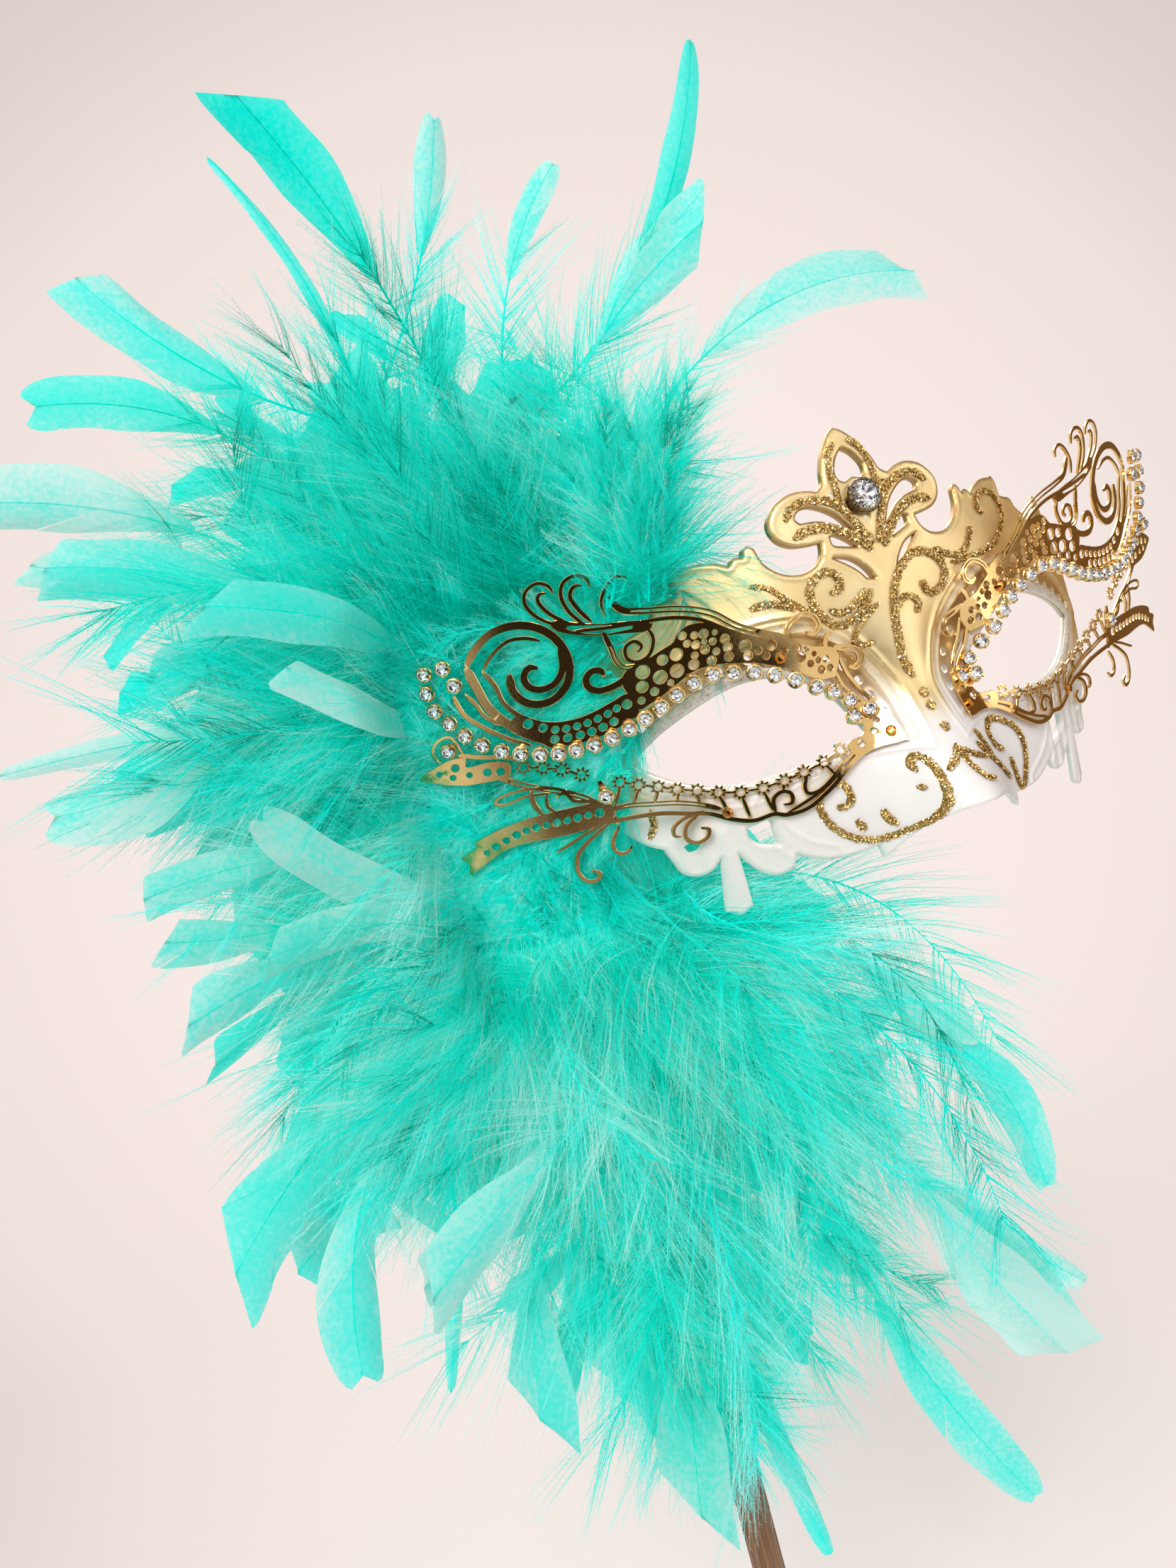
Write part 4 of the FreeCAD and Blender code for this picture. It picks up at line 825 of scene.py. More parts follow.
# ---------------------------------------------------------------- feathers
# The four tones of a feather are paleness, tint, place along a barb (VANE_FLAG on a web) and, on a
# web, the distance along the shaft in millimetres.
HAIR = 0.045
STEPS = 24
SHAFT_WIDTHS = (0.40, 0.10)
BARBULES = 34
BARBULE_LENGTH = 2.5
BARB_GAP = 0.95
BARB_WIDTH = 0.10
BARB_POINTS = 7
BARBS_IN_LOCK = 9
VANE_POINTS = 6
VANE_ROW = 1.8
VANE_LEAN = math.radians(30)
VANE_FLAG = -1.0
MOST_FACES = 170000
GRAVITY = np.array([0.0, 0.0, -1.0])
STRIPES = 13.0
LIGHT_THROUGH = 0.40
# depths where the foremost strands begin to be held back, and the room they have from there
FRONT_SOFT = -14.0
FRONT_ROOM = 11.0


def behind_metal(points):
    """Presses down that would stand through the metal wing or the cheek against its back."""
    x, y, z = points[:, 0], points[:, 1], points[:, 2]
    cheek = step_up(x, -60, -54) * step_up(-z, -4, 2)
    limit = (metal_front(x, z) + 1.6) * (1 - cheek) + (shell_front(x, z) + SHELL_T + 1.0) * cheek
    zone = step_up(x, -118, -103) * step_up(-x, 14, 20) * step_up(z, -40, -22)
    zone = zone * step_up(-z, -62, -50)
    points = points.copy()
    points[:, 1] = y + 1.12 * np.clip(limit - y, 0, None) * zone
    return points


def hold_back(points):
    """Eases the foremost strands back, so that none stands far in front of the mask."""
    points = points.copy()
    over = np.clip(FRONT_SOFT - points[:, 1], 0, None)
    points[:, 1] += over - FRONT_ROOM * (1 - np.exp(-over / FRONT_ROOM))
    return points


class Bunch:
    """Collects triangles of many small strips and makes one piece of them."""

    def __init__(self, free=False):
        self.points = []
        self.faces = []
        self.tones = []
        self.count = 0
        self.face_count = 0
        self.free = free

    def add(self, points, faces, tones):
        self.points.append(points if self.free else behind_metal(hold_back(points)))
        self.faces.append(faces + self.count)
        self.tones.append(tones)
        self.count += len(points)
        self.face_count += len(faces)

    def piece(self, name, made, slot, node, smooth=True):
        points = place(np.concatenate(self.points)).astype(np.float32)
        faces = np.concatenate(self.faces).astype(np.int32)
        mesh = bpy.data.meshes.new(name)
        mesh.vertices.add(len(points))
        mesh.vertices.foreach_set("co", points.ravel())
        mesh.loops.add(faces.size)
        mesh.loops.foreach_set("vertex_index", faces.ravel())
        mesh.polygons.add(len(faces))
        mesh.polygons.foreach_set("loop_start", np.arange(0, faces.size, 3, dtype=np.int32))
        mesh.polygons.foreach_set("use_smooth", np.full(len(faces), smooth))
        mesh.update(calc_edges=True)
        dress(name, mesh, made, node, np.concatenate(self.tones))
        print(name, len(faces))


class Plume:
    """Feathers of one part of the plume, split into pieces of a fair size."""

    def __init__(self):
        self.bunches = [Bunch()]

    def bunch(self, free=False):
        if self.bunches[-1].face_count > MOST_FACES:
            self.bunches.append(Bunch())
        self.bunches[-1].free = free
        return self.bunches[-1]

    def make(self, node, made):
        for i, bunch in enumerate(self.bunches):
            bunch.piece(f"{node}_feathers_{i + 1}", made, "feather", node)


def ribbons(bunch, lines, widths, across, tones):
    """Flat strips along lines (n, k, 3) with half widths (n, k) laid along across."""
    n, k = lines.shape[:2]
    left = lines + across * widths[..., None]
    right = lines - across * widths[..., None]
    points = np.stack([left, right], axis=2).reshape(-1, 3)
    quad = np.array([[0, 1, 2], [2, 1, 3]])
    base = (np.arange(n)[:, None] * 2 * k + np.arange(k - 1)[None, :] * 2).reshape(-1, 1, 1)
    faces = (base + quad).reshape(-1, 3)
    bunch.add(points, faces, np.repeat(tones, 2, axis=1).reshape(-1, 4))


def web(bunch, grid, tones):
    """One web of a vane from a grid of points (n, m, 3)."""
    n, m = grid.shape[:2]
    corner = (np.arange(n - 1)[:, None] * m + np.arange(m - 1)[None, :]).reshape(-1, 1)
    faces = np.concatenate([corner + [0, 1, m], corner + [m, 1, m + 1]])
    bunch.add(grid.reshape(-1, 3), faces, tones.reshape(-1, 4))


def barbules(bunch, lines, along, across, tones):
    """Fine single hairs that stand off both sides of every barb."""
    n, k = lines.shape[:2]
    shape = (n, BARBULES)
    t = (np.arange(BARBULES)[None, :] + rng.uniform(0.1, 0.9, shape)) / BARBULES * (k - 1)
    low = np.minimum(t.astype(int), k - 2)
    part = (t - low)[..., None]
    rows = np.arange(n)[:, None]
    root = lines[rows, low] * (1 - part) + lines[rows, low + 1] * part
    run = unit(along[rows, low])
    side = across[rows, low] * np.where(rng.random((*shape, 1)) < 0.5, -1.0, 1.0)
    reach = BARBULE_LENGTH * (1.1 - 0.6 * t / (k - 1))[..., None]
    reach = reach * rng.uniform(0.5, 1.2, (*shape, 1))
    tip = root + (run * 0.9 + side * 0.6 + rng.normal(0, 0.16, (*shape, 3))) * reach
    half = run * HAIR
    points = np.stack([root - half, root + half, tip], axis=2).reshape(-1, 3)
    faces = np.arange(len(points)).reshape(-1, 3)
    shade = np.repeat(tones[rows, low][:, :, None, :], 3, axis=2)
    # the tip of every barbule is paler: a painted highlight
    shade[:, :, 2, 0] = np.minimum(shade[:, :, 2, 0] + 0.28, 1.0)
    bunch.add(points, faces, shade.reshape(-1, 4))


class Shaft:
    """Bent line of a feather with its axes, and places along it by share of its length."""

    def __init__(self, root, tip, bow, lift, roll):
        root, tip = np.asarray(root, dtype=float), np.asarray(tip, dtype=float)
        self.shares = np.linspace(0, 1, STEPS)
        self.size = np.linalg.norm(tip - root)
        t = self.shares[:, None]
        ahead = unit(tip - root)
        front = np.array([0.0, -1.0, 0.0])
        front = unit(front - ahead * (front @ ahead))
        side = np.cross(ahead, front)
        sway = 4 * t * (1 - t) * self.size
        self.line = root + (tip - root) * t + side * bow * sway + front * lift * sway
        self.tangent = unit(np.gradient(self.line, axis=0))
        plane = side * math.cos(roll) + front * math.sin(roll)
        self.face = unit(np.cross(self.tangent, plane))
        self.plane = np.cross(self.face, self.tangent)

    def at(self, t, hand):
        """Start, direction along, direction to one side and direction out at some places."""
        start, run, sideways, out = (
            np.stack([np.interp(t, self.shares, rows[:, a]) for a in range(3)], axis=-1)
            for rows in (self.line, self.tangent, self.plane, self.face))
        return start, run, sideways * hand, out


def feather(bunch, root, tip, bow=0.0, lift=0.0, roll=0.0, down=20.0, down_to=1.0, vane=0.0,
            vane_from=0.5, cut=None, pale=0.3):
    """One feather: shaft, downy barbs with barbules, and a flat vane near its tip.

    down is the length of the downy barbs and vane the half width of the web; down_to and
    vane_from are shares of the shaft; cut is the slant of a clipped end, or None for a
    grown one.
    """
    shaft = Shaft(root, tip, bow, lift, roll)
    tint = rng.random()
    width = np.linspace(*SHAFT_WIDTHS, STEPS)
    tones = np.tile([0.6 * pale + 0.25, tint, 0.9, 0.0], (1, STEPS, 1))
    for axis in (shaft.plane, shaft.face):
        ribbons(bunch, shaft.line[None], width[None], axis[None], tones)
    if down > 0:
        add_down(bunch, shaft, down, down_to, pale, tint)
    if vane > 0:
        add_vane(bunch, shaft, vane, vane_from, cut, pale, tint)


def add_down(bunch, shaft, down, down_to, pale, tint):
    """Soft barbs in locks: neighbours bend alike and only stray a little."""
    count = 2 * max(3, int(shaft.size * down_to / BARB_GAP))
    t = np.sort(rng.uniform(0.02, down_to, count))
    hand = np.where(rng.random(count) < 0.5, -1.0, 1.0)[:, None]
    lock = np.arange(count) // BARBS_IN_LOCK
    stray = rng.normal(0, 1, (lock[-1] + 1, 5))[lock]
    phase = rng.uniform(0, 6.28, 4)
    start, run, sideways, out = shaft.at(t, hand)
    fan = np.radians(50 - 24 * t / down_to + 6 * np.sin(5 * t + phase[0]) + 6 * stray[:, 0]
                     + rng.normal(0, 3.5, count))[:, None]
    tilt = 0.22 * np.sin(4 * t + phase[1]) + 0.20 * stray[:, 1] + rng.normal(0, 0.09, count)
    reach = down * np.clip(1.15 - 0.5 * t / down_to, 0.2, 1.0) * (1 + 0.14 * stray[:, 2])
    reach = np.clip(reach * rng.uniform(0.7, 1.12, count), 2.0, None)[:, None, None]
    u = np.linspace(0, 1, BARB_POINTS)[None, :, None]
    first = run * np.cos(fan) + sideways * np.sin(fan) + out * tilt[:, None]
    bend = 0.30 * np.sin(3 * t + phase[2]) + 0.22 * stray[:, 3] + rng.normal(0, 0.08, count)
    curl = run * 0.55 + out * bend[:, None] + sideways * 0.18 * stray[:, 4:5] + GRAVITY * 0.16
    lines = start[:, None] + reach * (first[:, None] * u + curl[:, None] * u * u * 0.55)
    wave = rng.normal(0, 1, (count, 1, 3)) * np.sin(u * rng.uniform(3, 7, (count, 1, 1)))
    lines = lines + wave * reach * 0.018
    tangent = unit(np.gradient(lines, axis=1))
    across = unit(np.cross(tangent, out[:, None] + rng.normal(0, 0.3, (count, 1, 3))))
    widths = BARB_WIDTH * (1 - 0.75 * u[..., 0]) * rng.uniform(0.7, 1.25, (count, 1))
    tones = np.zeros((count, BARB_POINTS, 4))
    # paler toward the barb tips and darker at the roots: painted highlight at the tips and painted
    # shade inside the mass
    tones[..., 0] = np.clip(pale - 0.04 + 0.12 * stray[:, :1] + 0.60 * u[..., 0] ** 2
                            + rng.normal(0, 0.05, (count, 1)), 0, 1)
    tones[..., 1] = tint
    tones[..., 2] = u[..., 0]
    ribbons(bunch, lines, widths, across, tones)
    barbules(bunch, lines, tangent, across, tones)


def add_vane(bunch, shaft, vane, vane_from, cut, pale, tint):
    """Smooth web on both sides of the shaft, with a few splits where barbs part."""
    u = np.linspace(0, 1, VANE_POINTS)[None, :, None]
    cup = 0.10 + 0.14 * tint
    for hand in (-1.0, 1.0):
        splits = np.sort(rng.uniform(vane_from + 0.1, 0.97, rng.integers(1, 3)))
        edges = np.concatenate([[vane_from], splits, [1.0]])
        for low, high in zip(edges[:-1], edges[1:]):
            rows = max(4, int((high - low) * shaft.size / VANE_ROW))
            t = np.linspace(low, high, rows)
            gone = t * shaft.size
            start, run, sideways, out = shaft.at(t, hand)
            fan = VANE_LEAN + rng.normal(0, 0.010) + 0.02 * np.sin(gone * 0.3 + tint * 9)
            first = run * np.cos(fan)[:, None] + sideways * np.sin(fan)[:, None]
            grown = np.clip((t - vane_from) / 0.22, 0, 1)
            width = vane * (0.25 + 0.75 * grown * (2 - grown))
            width = width * (1 + 0.03 * np.sin(gone * 0.16 + hand))
            reach = width / math.sin(VANE_LEAN)
            if cut is None:
                left = np.clip((1 - t) / 0.38, 0.0, 1)
                reach = reach * np.sqrt(left * (2 - left)) + 0.2
            else:
                slant = math.cos(VANE_LEAN) + cut * hand * math.sin(VANE_LEAN)
                room = (1 - t) * shaft.size / np.clip(slant, 0.25, None)
                reach = np.minimum(reach, room + 0.1)
            bend = first[:, None] * u + cup * out[:, None] * u * u
            grid = start[:, None] + reach[:, None, None] * bend
            ripple = 0.5 * np.sin(gone * 0.12 + tint * 30 + hand)[:, None, None] * u * out[:, None]
            tones = np.empty((rows, VANE_POINTS, 4))
            tones[..., 0] = np.clip(0.50 + 0.46 * pale + rng.normal(0, 0.03)
                                    + 0.12 * u[..., 0] ** 2, 0, 1)
            tones[..., 1] = 0.4 * tint
            tones[..., 2] = VANE_FLAG
            tones[..., 3] = gone[:, None]
            web(bunch, grid + ripple, tones)


def feather_material():
    """Dyed barbs: paler to the tips as painted highlight, in soft patches, with light that passes
    through them and a faint painted glow.
    """
    nodes = material("dyed_feather")
    pale, tint, run, gone = nodes.tones()
    barb = nodes.math("SINE", nodes.math("MULTIPLY", gone, STRIPES))
    patches = nodes.math("MULTIPLY", nodes.span(nodes.noise(42.0, 2.0), 0.35, 0.65, -0.13, 0.13),
                         nodes.span(run, VANE_FLAG, 0.0, 0.3, 1.0))
    streaks = nodes.span(nodes.noise(900.0, 2.0), 0.35, 0.65, -0.06, 0.06)
    level = pale
    for more in (patches, streaks, nodes.span(barb, -1.0, 1.0, -0.035, 0.035)):
        level = nodes.math("ADD", level, more)
    dye = nodes.ramp(level, (0.0, 0.0, 0.44, 0.34), (0.2, 0.0, 0.84, 0.73), (0.5, 0.0, 1.0, 0.90),
                     (0.75, 0.18, 1.0, 0.94), (1.0, 0.74, 1.0, 0.97))
    colour = nodes.make("ShaderNodeHueSaturation", Color=dye,
                        Hue=nodes.span(tint, 0.0, 1.0, 0.492, 0.508),
                        Value=nodes.span(tint, 0.0, 1.0, 0.88, 1.0)).outputs["Color"]
    # the faint emission in the dye's colour is a painted glow that lifts the feathers and their
    # shade
    body = nodes.principled(Base_Color=colour, Roughness=0.42, Specular_IOR_Level=0.16,
                            Emission_Color=colour, Emission_Strength=0.07,
                            Normal=nodes.bump(barb, 0.5, 0.00005))
    glow = nodes.make("ShaderNodeBsdfTranslucent", Color=colour)
    return nodes.finish(nodes.mix_shader(LIGHT_THROUGH, body, glow))


# ---------------------------------------------------------------- plume
PLUME_MIDDLE = np.array([-70.0, 45.0, 20.0])
# what is seen through the left eye hole, as a circle in the plane of the plume
EYE_VIEW = (-14.0, 4.0)
EYE_CLEAR = 37.0
# how far the thick of the plume reaches from its middle, by direction in degrees
REACH = {20: 40, 30: 46, 40: 62, 57: 74, 66: 93, 82: 110, 102: 119, 120: 116, 143: 104, 168: 99,
         192: 94, 208: 114, 226: 126, 248: 152, 262: 172, 277: 180, 291: 172, 298: 148, 304: 110,
         312: 66}
# range of paleness of the down
DOWN = (0.0, 0.42)
PALE_DOWN = (0.1, 0.66)


def reach_at(angle):
    return np.interp(angle % 360, list(REACH), list(REACH.values()))


def toward(angle):
    """Direction across the face at an angle in degrees."""
    return np.array([math.cos(math.radians(angle)), 0.0, math.sin(math.radians(angle))])


def hides_eye(start, tip):
    """True where a feather would show behind the left eye hole."""
    t = np.linspace(0, 1, 9)[:, None]
    line = start * (1 - t) + tip * t
    return np.min(np.hypot(line[:, 0] - EYE_VIEW[0], line[:, 2] - EYE_VIEW[1])) < EYE_CLEAR


def spray(plume, count, angles, shares, depths, root_from, root_to, pale, **look):
    """Feathers that fan out of the core between two directions.

    shares is how much of the reach they fill, and depths is how far the tips stand in
    front of the root (negative is behind).
    """
    for i in range(count):
        u = (i + rng.uniform(0, 1)) / count
        angle = angles[0] + (angles[1] - angles[0]) * u
        root = np.array(root_from) + (np.array(root_to) - np.array(root_from)) * u
        root = root + rng.normal(0, 1, 3) * (5, 4, 5)
        reach = reach_at(angle + rng.normal(0, 4)) * rng.uniform(*shares)
        tip = PLUME_MIDDLE + reach * toward(angle)
        tip[1] = root[1] - rng.uniform(*depths)
        start = root + (tip - root) * rng.uniform(0.0, 0.3)
        if not hides_eye(start, tip):
            feather(plume.bunch(), start, tip, bow=rng.normal(0, 0.17),
                    lift=rng.uniform(-0.05, 0.2), roll=rng.normal(0, 0.5),
                    pale=rng.uniform(*pale), **look)


def tuft(plume, count, root_low, root_high, tip_low, tip_high, down, free=False):
    """Short downy feathers between two boxes."""
    for _ in range(count):
        root = rng.uniform(root_low, root_high)
        tip = rng.uniform(tip_low, tip_high)
        feather(plume.bunch(free), root, tip, bow=rng.normal(0, 0.18),
                lift=rng.uniform(-0.05, 0.1), roll=rng.normal(0, 0.35), down=down,
                pale=rng.uniform(0.10, 0.40))


def tuck(plume, count):
    """Down pressed into the gap between the temple and the metal wing."""
    for _ in range(count):
        z = rng.uniform(0, 40)
        x = rng.uniform(-66, -57) if z > 20 else rng.uniform(-70, -63)
        root = np.array([x, metal_front(x, z) + 2.2, z])
        x, z = rng.uniform(-100, -74), z + rng.uniform(-22, 16)
        tip = np.array([x, metal_front(x, z) + rng.uniform(2.2, 7.0), z])
        feather(plume.bunch(), root, tip, bow=rng.normal(0, 0.12), roll=rng.normal(0, 0.12),
                down=9, pale=rng.uniform(0.12, 0.45))


def bed(plume, count, angles, shares, depth, width):
    """Broad webs at the back of the mass, which the down lies on; their dark tone is partly the
    feathers' bases and partly painted shade deep in the mass.
    """
    for i in range(count):
        angle = angles[0] + (angles[1] - angles[0]) * (i + rng.uniform(0, 1)) / count
        middle = PLUME_MIDDLE * (1, 0, 1) + (0.0, rng.uniform(*depth), 0.0)
        tip = middle + toward(angle) * reach_at(angle) * rng.uniform(*shares)
        start = middle + toward(angle) * rng.uniform(0, 22)
        if not hides_eye(start, tip):
            # dark paleness: partly the feathers' bases, partly painted shade deep in the mass
            feather(plume.bunch(), start, tip, bow=rng.normal(0, 0.08), roll=rng.normal(0, 0.35),
                    down=0, vane=width * rng.uniform(0.8, 1.2), vane_from=0.02,
                    cut=rng.normal(0, 0.5), pale=rng.uniform(0.0, 0.22))


# long feathers that stand out of the mass: tip, root, vane half width, start of the vane, slant of
# the cut, bow, paleness
UPPER_HEROES = [
    ((-100, 20, 167), (-72, 44, 100), 6.5, 0.42, 1.0, 0.04, 0.02),
    ((-109, 24, 158), (-92, 40, 95), 1.6, 0.3, None, 0.06, 0.25),
    ((-142, 30, 142), (-96, 44, 104), 5.5, 0.3, 0.6, -0.08, 0.45),
    ((-158, 34, 120), (-112, 44, 96), 6.0, 0.3, None, 0.10, 0.40),
    ((4, 22, 163), (-52, 40, 95), 3.6, 0.35, None, 0.10, 0.22),
    ((-5, 24, 124), (-48, 40, 92), 7.5, 0.35, 1.0, -0.06, 0.45),
    ((48, 28, 103), (-36, 38, 78), 7.5, 0.32, -0.5, -0.13, 0.72),
    ((-58, 30, 160), (-84, 48, 112), 4.0, 0.5, None, 0.05, 0.55),
    ((-34, 30, 146), (-58, 46, 98), 3.5, 0.5, None, -0.10, 0.50),
]
SIDE_HEROES = [
    ((-176, 34, 104), (-118, 46, 74), 7.0, 0.35, None, 0.08, 0.62),
    ((-169, 30, 88), (-120, 44, 78), 4.0, 0.45, 0.8, -0.05, 0.60),
    ((-166, 26, 86), (-104, 40, 46), 6.5, 0.35, 0.4, 0.10, 0.28),
    ((-181, 34, 38), (-128, 44, 62), 7.0, 0.40, None, -0.16, 0.62),
    ((-188, 30, 49), (-110, 40, 36), 2.4, 0.35, None, 0.04, 0.75),
    ((-170, 30, 16), (-108, 42, 2), 4.5, 0.45, 0.3, 0.08, 0.40),
    ((-139, 12, 68), (-92, 30, 44), 6.0, 0.20, 0.9, 0.05, 0.22),
    ((-128, 12, 52), (-90, 28, 28), 4.5, 0.20, 0.5, -0.06, 0.48),
]
LOWER_HEROES = [
    ((-169, 30, 6), (-118, 44, 0), 5.0, 0.50, 0.6, -0.06, 0.42),
    ((-170, 28, -12), (-120, 42, -10), 6.0, 0.45, 0.8, 0.05, 0.42),
    ((-178, 30, -66), (-122, 44, -34), 9.0, 0.40, 1.0, 0.06, 0.20),
    ((-160, 24, -95), (-128, 42, -44), 6.5, 0.35, None, 0.12, 0.30),
    ((-142, 22, -82), (-96, 40, -44), 7.0, 0.40, 0.3, -0.12, 0.62),
    ((-144, 26, -108), (-118, 44, -56), 1.8, 0.4, None, 0.03, 0.35),
    ((-128, 24, -122), (-104, 44, -64), 8.0, 0.50, 1.0, 0.04, 0.30),
    ((-104, 24, -133), (-92, 44, -70), 8.5, 0.50, 0.7, -0.04, 0.18),
    ((-102, 14, -153), (-72, 36, -90), 7.5, 0.42, 1.2, 0.05, 0.38),
    ((-74, 24, -184), (-72, 44, -96), 3.0, 0.40, None, 0.03, 0.22),
    ((-19, 24, -197), (-46, 44, -92), 6.5, 0.40, None, 0.06, 0.34),
    ((1, 26, -161), (-40, 44, -84), 8.0, 0.40, 1.0, -0.05, 0.48),
    ((13, 26, -154), (-36, 44, -80), 4.0, 0.45, None, 0.05, 0.60),
    ((10, 26, -126), (-36, 44, -66), 5.5, 0.40, None, -0.22, 0.30),
    ((0, 28, -84), (-44, 44, -40), 7.0, 0.50, None, -0.10, 0.62),
    ((-142, 28, 24), (-94, 44, -14), 5.5, 0.20, None, -0.10, 0.55),
    ((-150, 26, -4), (-92, 42, -24), 5.0, 0.25, 0.6, 0.10, 0.35),
    ((-141, 4, -77), (-90, 22, -58), 6.5, 0.35, 0.9, 0.04, 0.50),
    ((-4, 14, -160), (-26, 34, -80), 9.0, 0.40, 0.6, 0.06, 0.75),
]


def heroes(plume, rows, paler):
    for tip, root, width, start, cut, bow, pale in rows:
        feather(plume.bunch(), root, tip, bow=bow, lift=rng.uniform(0.0, 0.08),
                roll=rng.normal(0, 0.25), down=21, down_to=start + 0.12, vane=width,
                vane_from=start, cut=cut, pale=pale + paler)


def upper_plume(plume):
    bed(plume, 34, (176, 40), (0.55, 0.86), (50, 62), 11)
    spray(plume, 26, (172, 36), (0.75, 1.08), (-26, 4), (-84, 62, 34), (-40, 56, 44), DOWN,
          down=27, down_to=0.85, vane=6, vane_from=0.72, cut=0.6)
    spray(plume, 64, (176, 34), (0.45, 0.98), (-8, 34), (-86, 50, 36), (-46, 40, 44), DOWN,
          down=27)
    tuft(plume, 22, (-62, 6, 42), (-46, 12, 48), (-62, 2, 62), (-28, 16, 88), 14, free=True)
    heroes(plume, UPPER_HEROES, 0.05)


def side_plume(plume):
    bed(plume, 26, (240, 150), (0.5, 0.85), (50, 62), 11)
    spray(plume, 20, (236, 150), (0.75, 1.08), (-15, 10), (-84, 60, -10), (-84, 60, 32), PALE_DOWN,
          down=25, down_to=0.8, vane=6, vane_from=0.7, cut=0.6)
    spray(plume, 40, (240, 150), (0.45, 0.95), (-6, 20), (-84, 50, -16), (-84, 50, 30), PALE_DOWN,
          down=25)
    tuft(plume, 40, (-84, 42, -8), (-70, 50, 40), (-112, 40, -24), (-92, 52, 56), 14)
    tuck(plume, 46)
    heroes(plume, SIDE_HEROES, 0.18)


def lower_plume(plume):
    bed(plume, 46, (216, 302), (0.5, 0.84), (48, 62), 12)
    spray(plume, 36, (218, 306), (0.74, 1.06), (-12, 14), (-86, 54, -18), (-62, 52, -26),
          PALE_DOWN, down=27, down_to=0.8, vane=7, vane_from=0.68, cut=0.6)
    spray(plume, 84, (214, 306), (0.38, 0.97), (4, 38), (-86, 44, -16), (-60, 42, -22), PALE_DOWN,
          down=27)
    tuft(plume, 12, (-92, 30, -104), (-70, 36, -92), (-104, 22, -152), (-74, 32, -138), 22)
    tuft(plume, 26, (-92, 38, -28), (-70, 44, -8), (-104, 20, -84), (-66, 32, -46), 20)
    tuft(plume, 16, (-90, 31, 0), (-66, 36, 12), (-98, 29, -46), (-62, 34, -26), 13)
    heroes(plume, LOWER_HEROES, 0.18)


FEATHER = feather_material()
PARTS = {"plume_upper": upper_plume, "plume_side": side_plume, "plume_lower": lower_plume}
for node, fill in PARTS.items():
    part = Plume()
    fill(part)
    part.make(node, FEATHER)


# ---------------------------------------------------------------- raised pearl rims
# distance out of the eye hole and height
RIM_SECTION = [(0.0, -0.25), (0.12, 0.18), (0.5, 0.52), (1.1, 0.68), (1.8, 0.70), (2.4, 0.58),
               (2.8, 0.30), (3.0, -0.20)]


def rim_material():
    nodes = material("pearl_glitter_rim")
    warmth, height, metal = nodes.split(nodes.cells(2300.0)["Color"])
    base = nodes.ramp(nodes.noise(160.0), (0.3, 0.70, 0.62, 0.52), (0.55, 0.84, 0.78, 0.70),
                      (0.75, 0.90, 0.86, 0.80))
    spark = nodes.ramp(warmth, (0.0, 0.62, 0.50, 0.34), (0.3, 0.86, 0.80, 0.72),
                       (0.8, 0.93, 0.90, 0.88), (1.0, 0.96, 0.95, 1.0))
    return nodes.finish(nodes.principled(
        Base_Color=nodes.mix(0.6, base, spark), Roughness=nodes.span(height, 0, 1, 0.18, 0.55),
        Metallic=nodes.span(metal, 0.4, 1.0, 0.0, 0.55), Normal=nodes.bump(height, 0.5, 0.00012)))


def bridge(a, b, count, flip=False):
    """Quads between two rings that start at the points a and b."""
    quads = []
    for i in range(count):
        j = (i + 1) % count
        quads.append((a + j, a + i, b + i, b + j) if flip else (a + i, a + j, b + j, b + i))
    return quads


def eye_rim(side, name, made):
    loop = closed_loop(EYE_HOLE, 0.45)
    ahead = np.roll(loop, -1, axis=0) - np.roll(loop, 1, axis=0)
    out = unit(np.stack([ahead[:, 1], -ahead[:, 0]], axis=1))
    count, rows = len(loop), len(RIM_SECTION)
    points = []
    for gap, height in RIM_SECTION:
        line = loop + out * gap
        x, z = side * line[:, 0], line[:, 1]
        rough = rng.normal(0, 0.035, count) * (height > 0)
        points.append(np.stack([x, shell_front(x, z) - height - rough, z], axis=1))
    faces = []
    for k in range(rows):
        faces += bridge(k * count, (k + 1) % rows * count, count, side > 0)
    mesh_piece(name, np.vstack(points), faces, made, name)


RIM_PAINT = rim_material()
for label, way in SIDES.items():
    eye_rim(way, "eye_rim_" + label, RIM_PAINT)


# ---------------------------------------------------------------- glitter scrolls
FLAKES_PER_MM2 = 26
STROKE_STEP = 0.3
FLAKE_RADII = (0.13, 0.24)
FLAKE_CORNERS = np.radians([0, 72, 144, 216, 288])
# across the stroke by its half width, and height in millimetres
MOUND = np.array([(-1.0, -0.1), (-0.8, 0.30), (-0.3, 0.52), (0.3, 0.52), (0.8, 0.30), (1.0, -0.1)])
MOUND_TONE = [0.3, 1.0, 0.0, 1.0]


def glitter_material():
    """Flakes of many shades over dull glue; the tones are the shade and the glue."""
    nodes = material("gold_glitter")
    flake, glue, _, _ = nodes.tones()
    shade = nodes.math("ADD", flake, nodes.span(nodes.noise(2500.0, 1.0), 0.3, 0.7, -0.1, 0.1))
    metal = nodes.ramp(shade, (0.0, 0.20, 0.10, 0.02), (0.35, 0.50, 0.29, 0.07),
                       (0.7, 0.80, 0.56, 0.20), (1.0, 0.98, 0.86, 0.55))
    return nodes.finish(nodes.principled(
        Base_Color=nodes.mix(glue, metal, (0.30, 0.16, 0.03)),
        Roughness=nodes.span(glue, 0, 1, 0.22, 0.35), Metallic=nodes.span(glue, 0, 1, 0.85, 0.3)))


def across_of(path):
    ahead = unit(np.gradient(path, axis=0))
    return np.stack([-ahead[:, 1], ahead[:, 0]], axis=1)


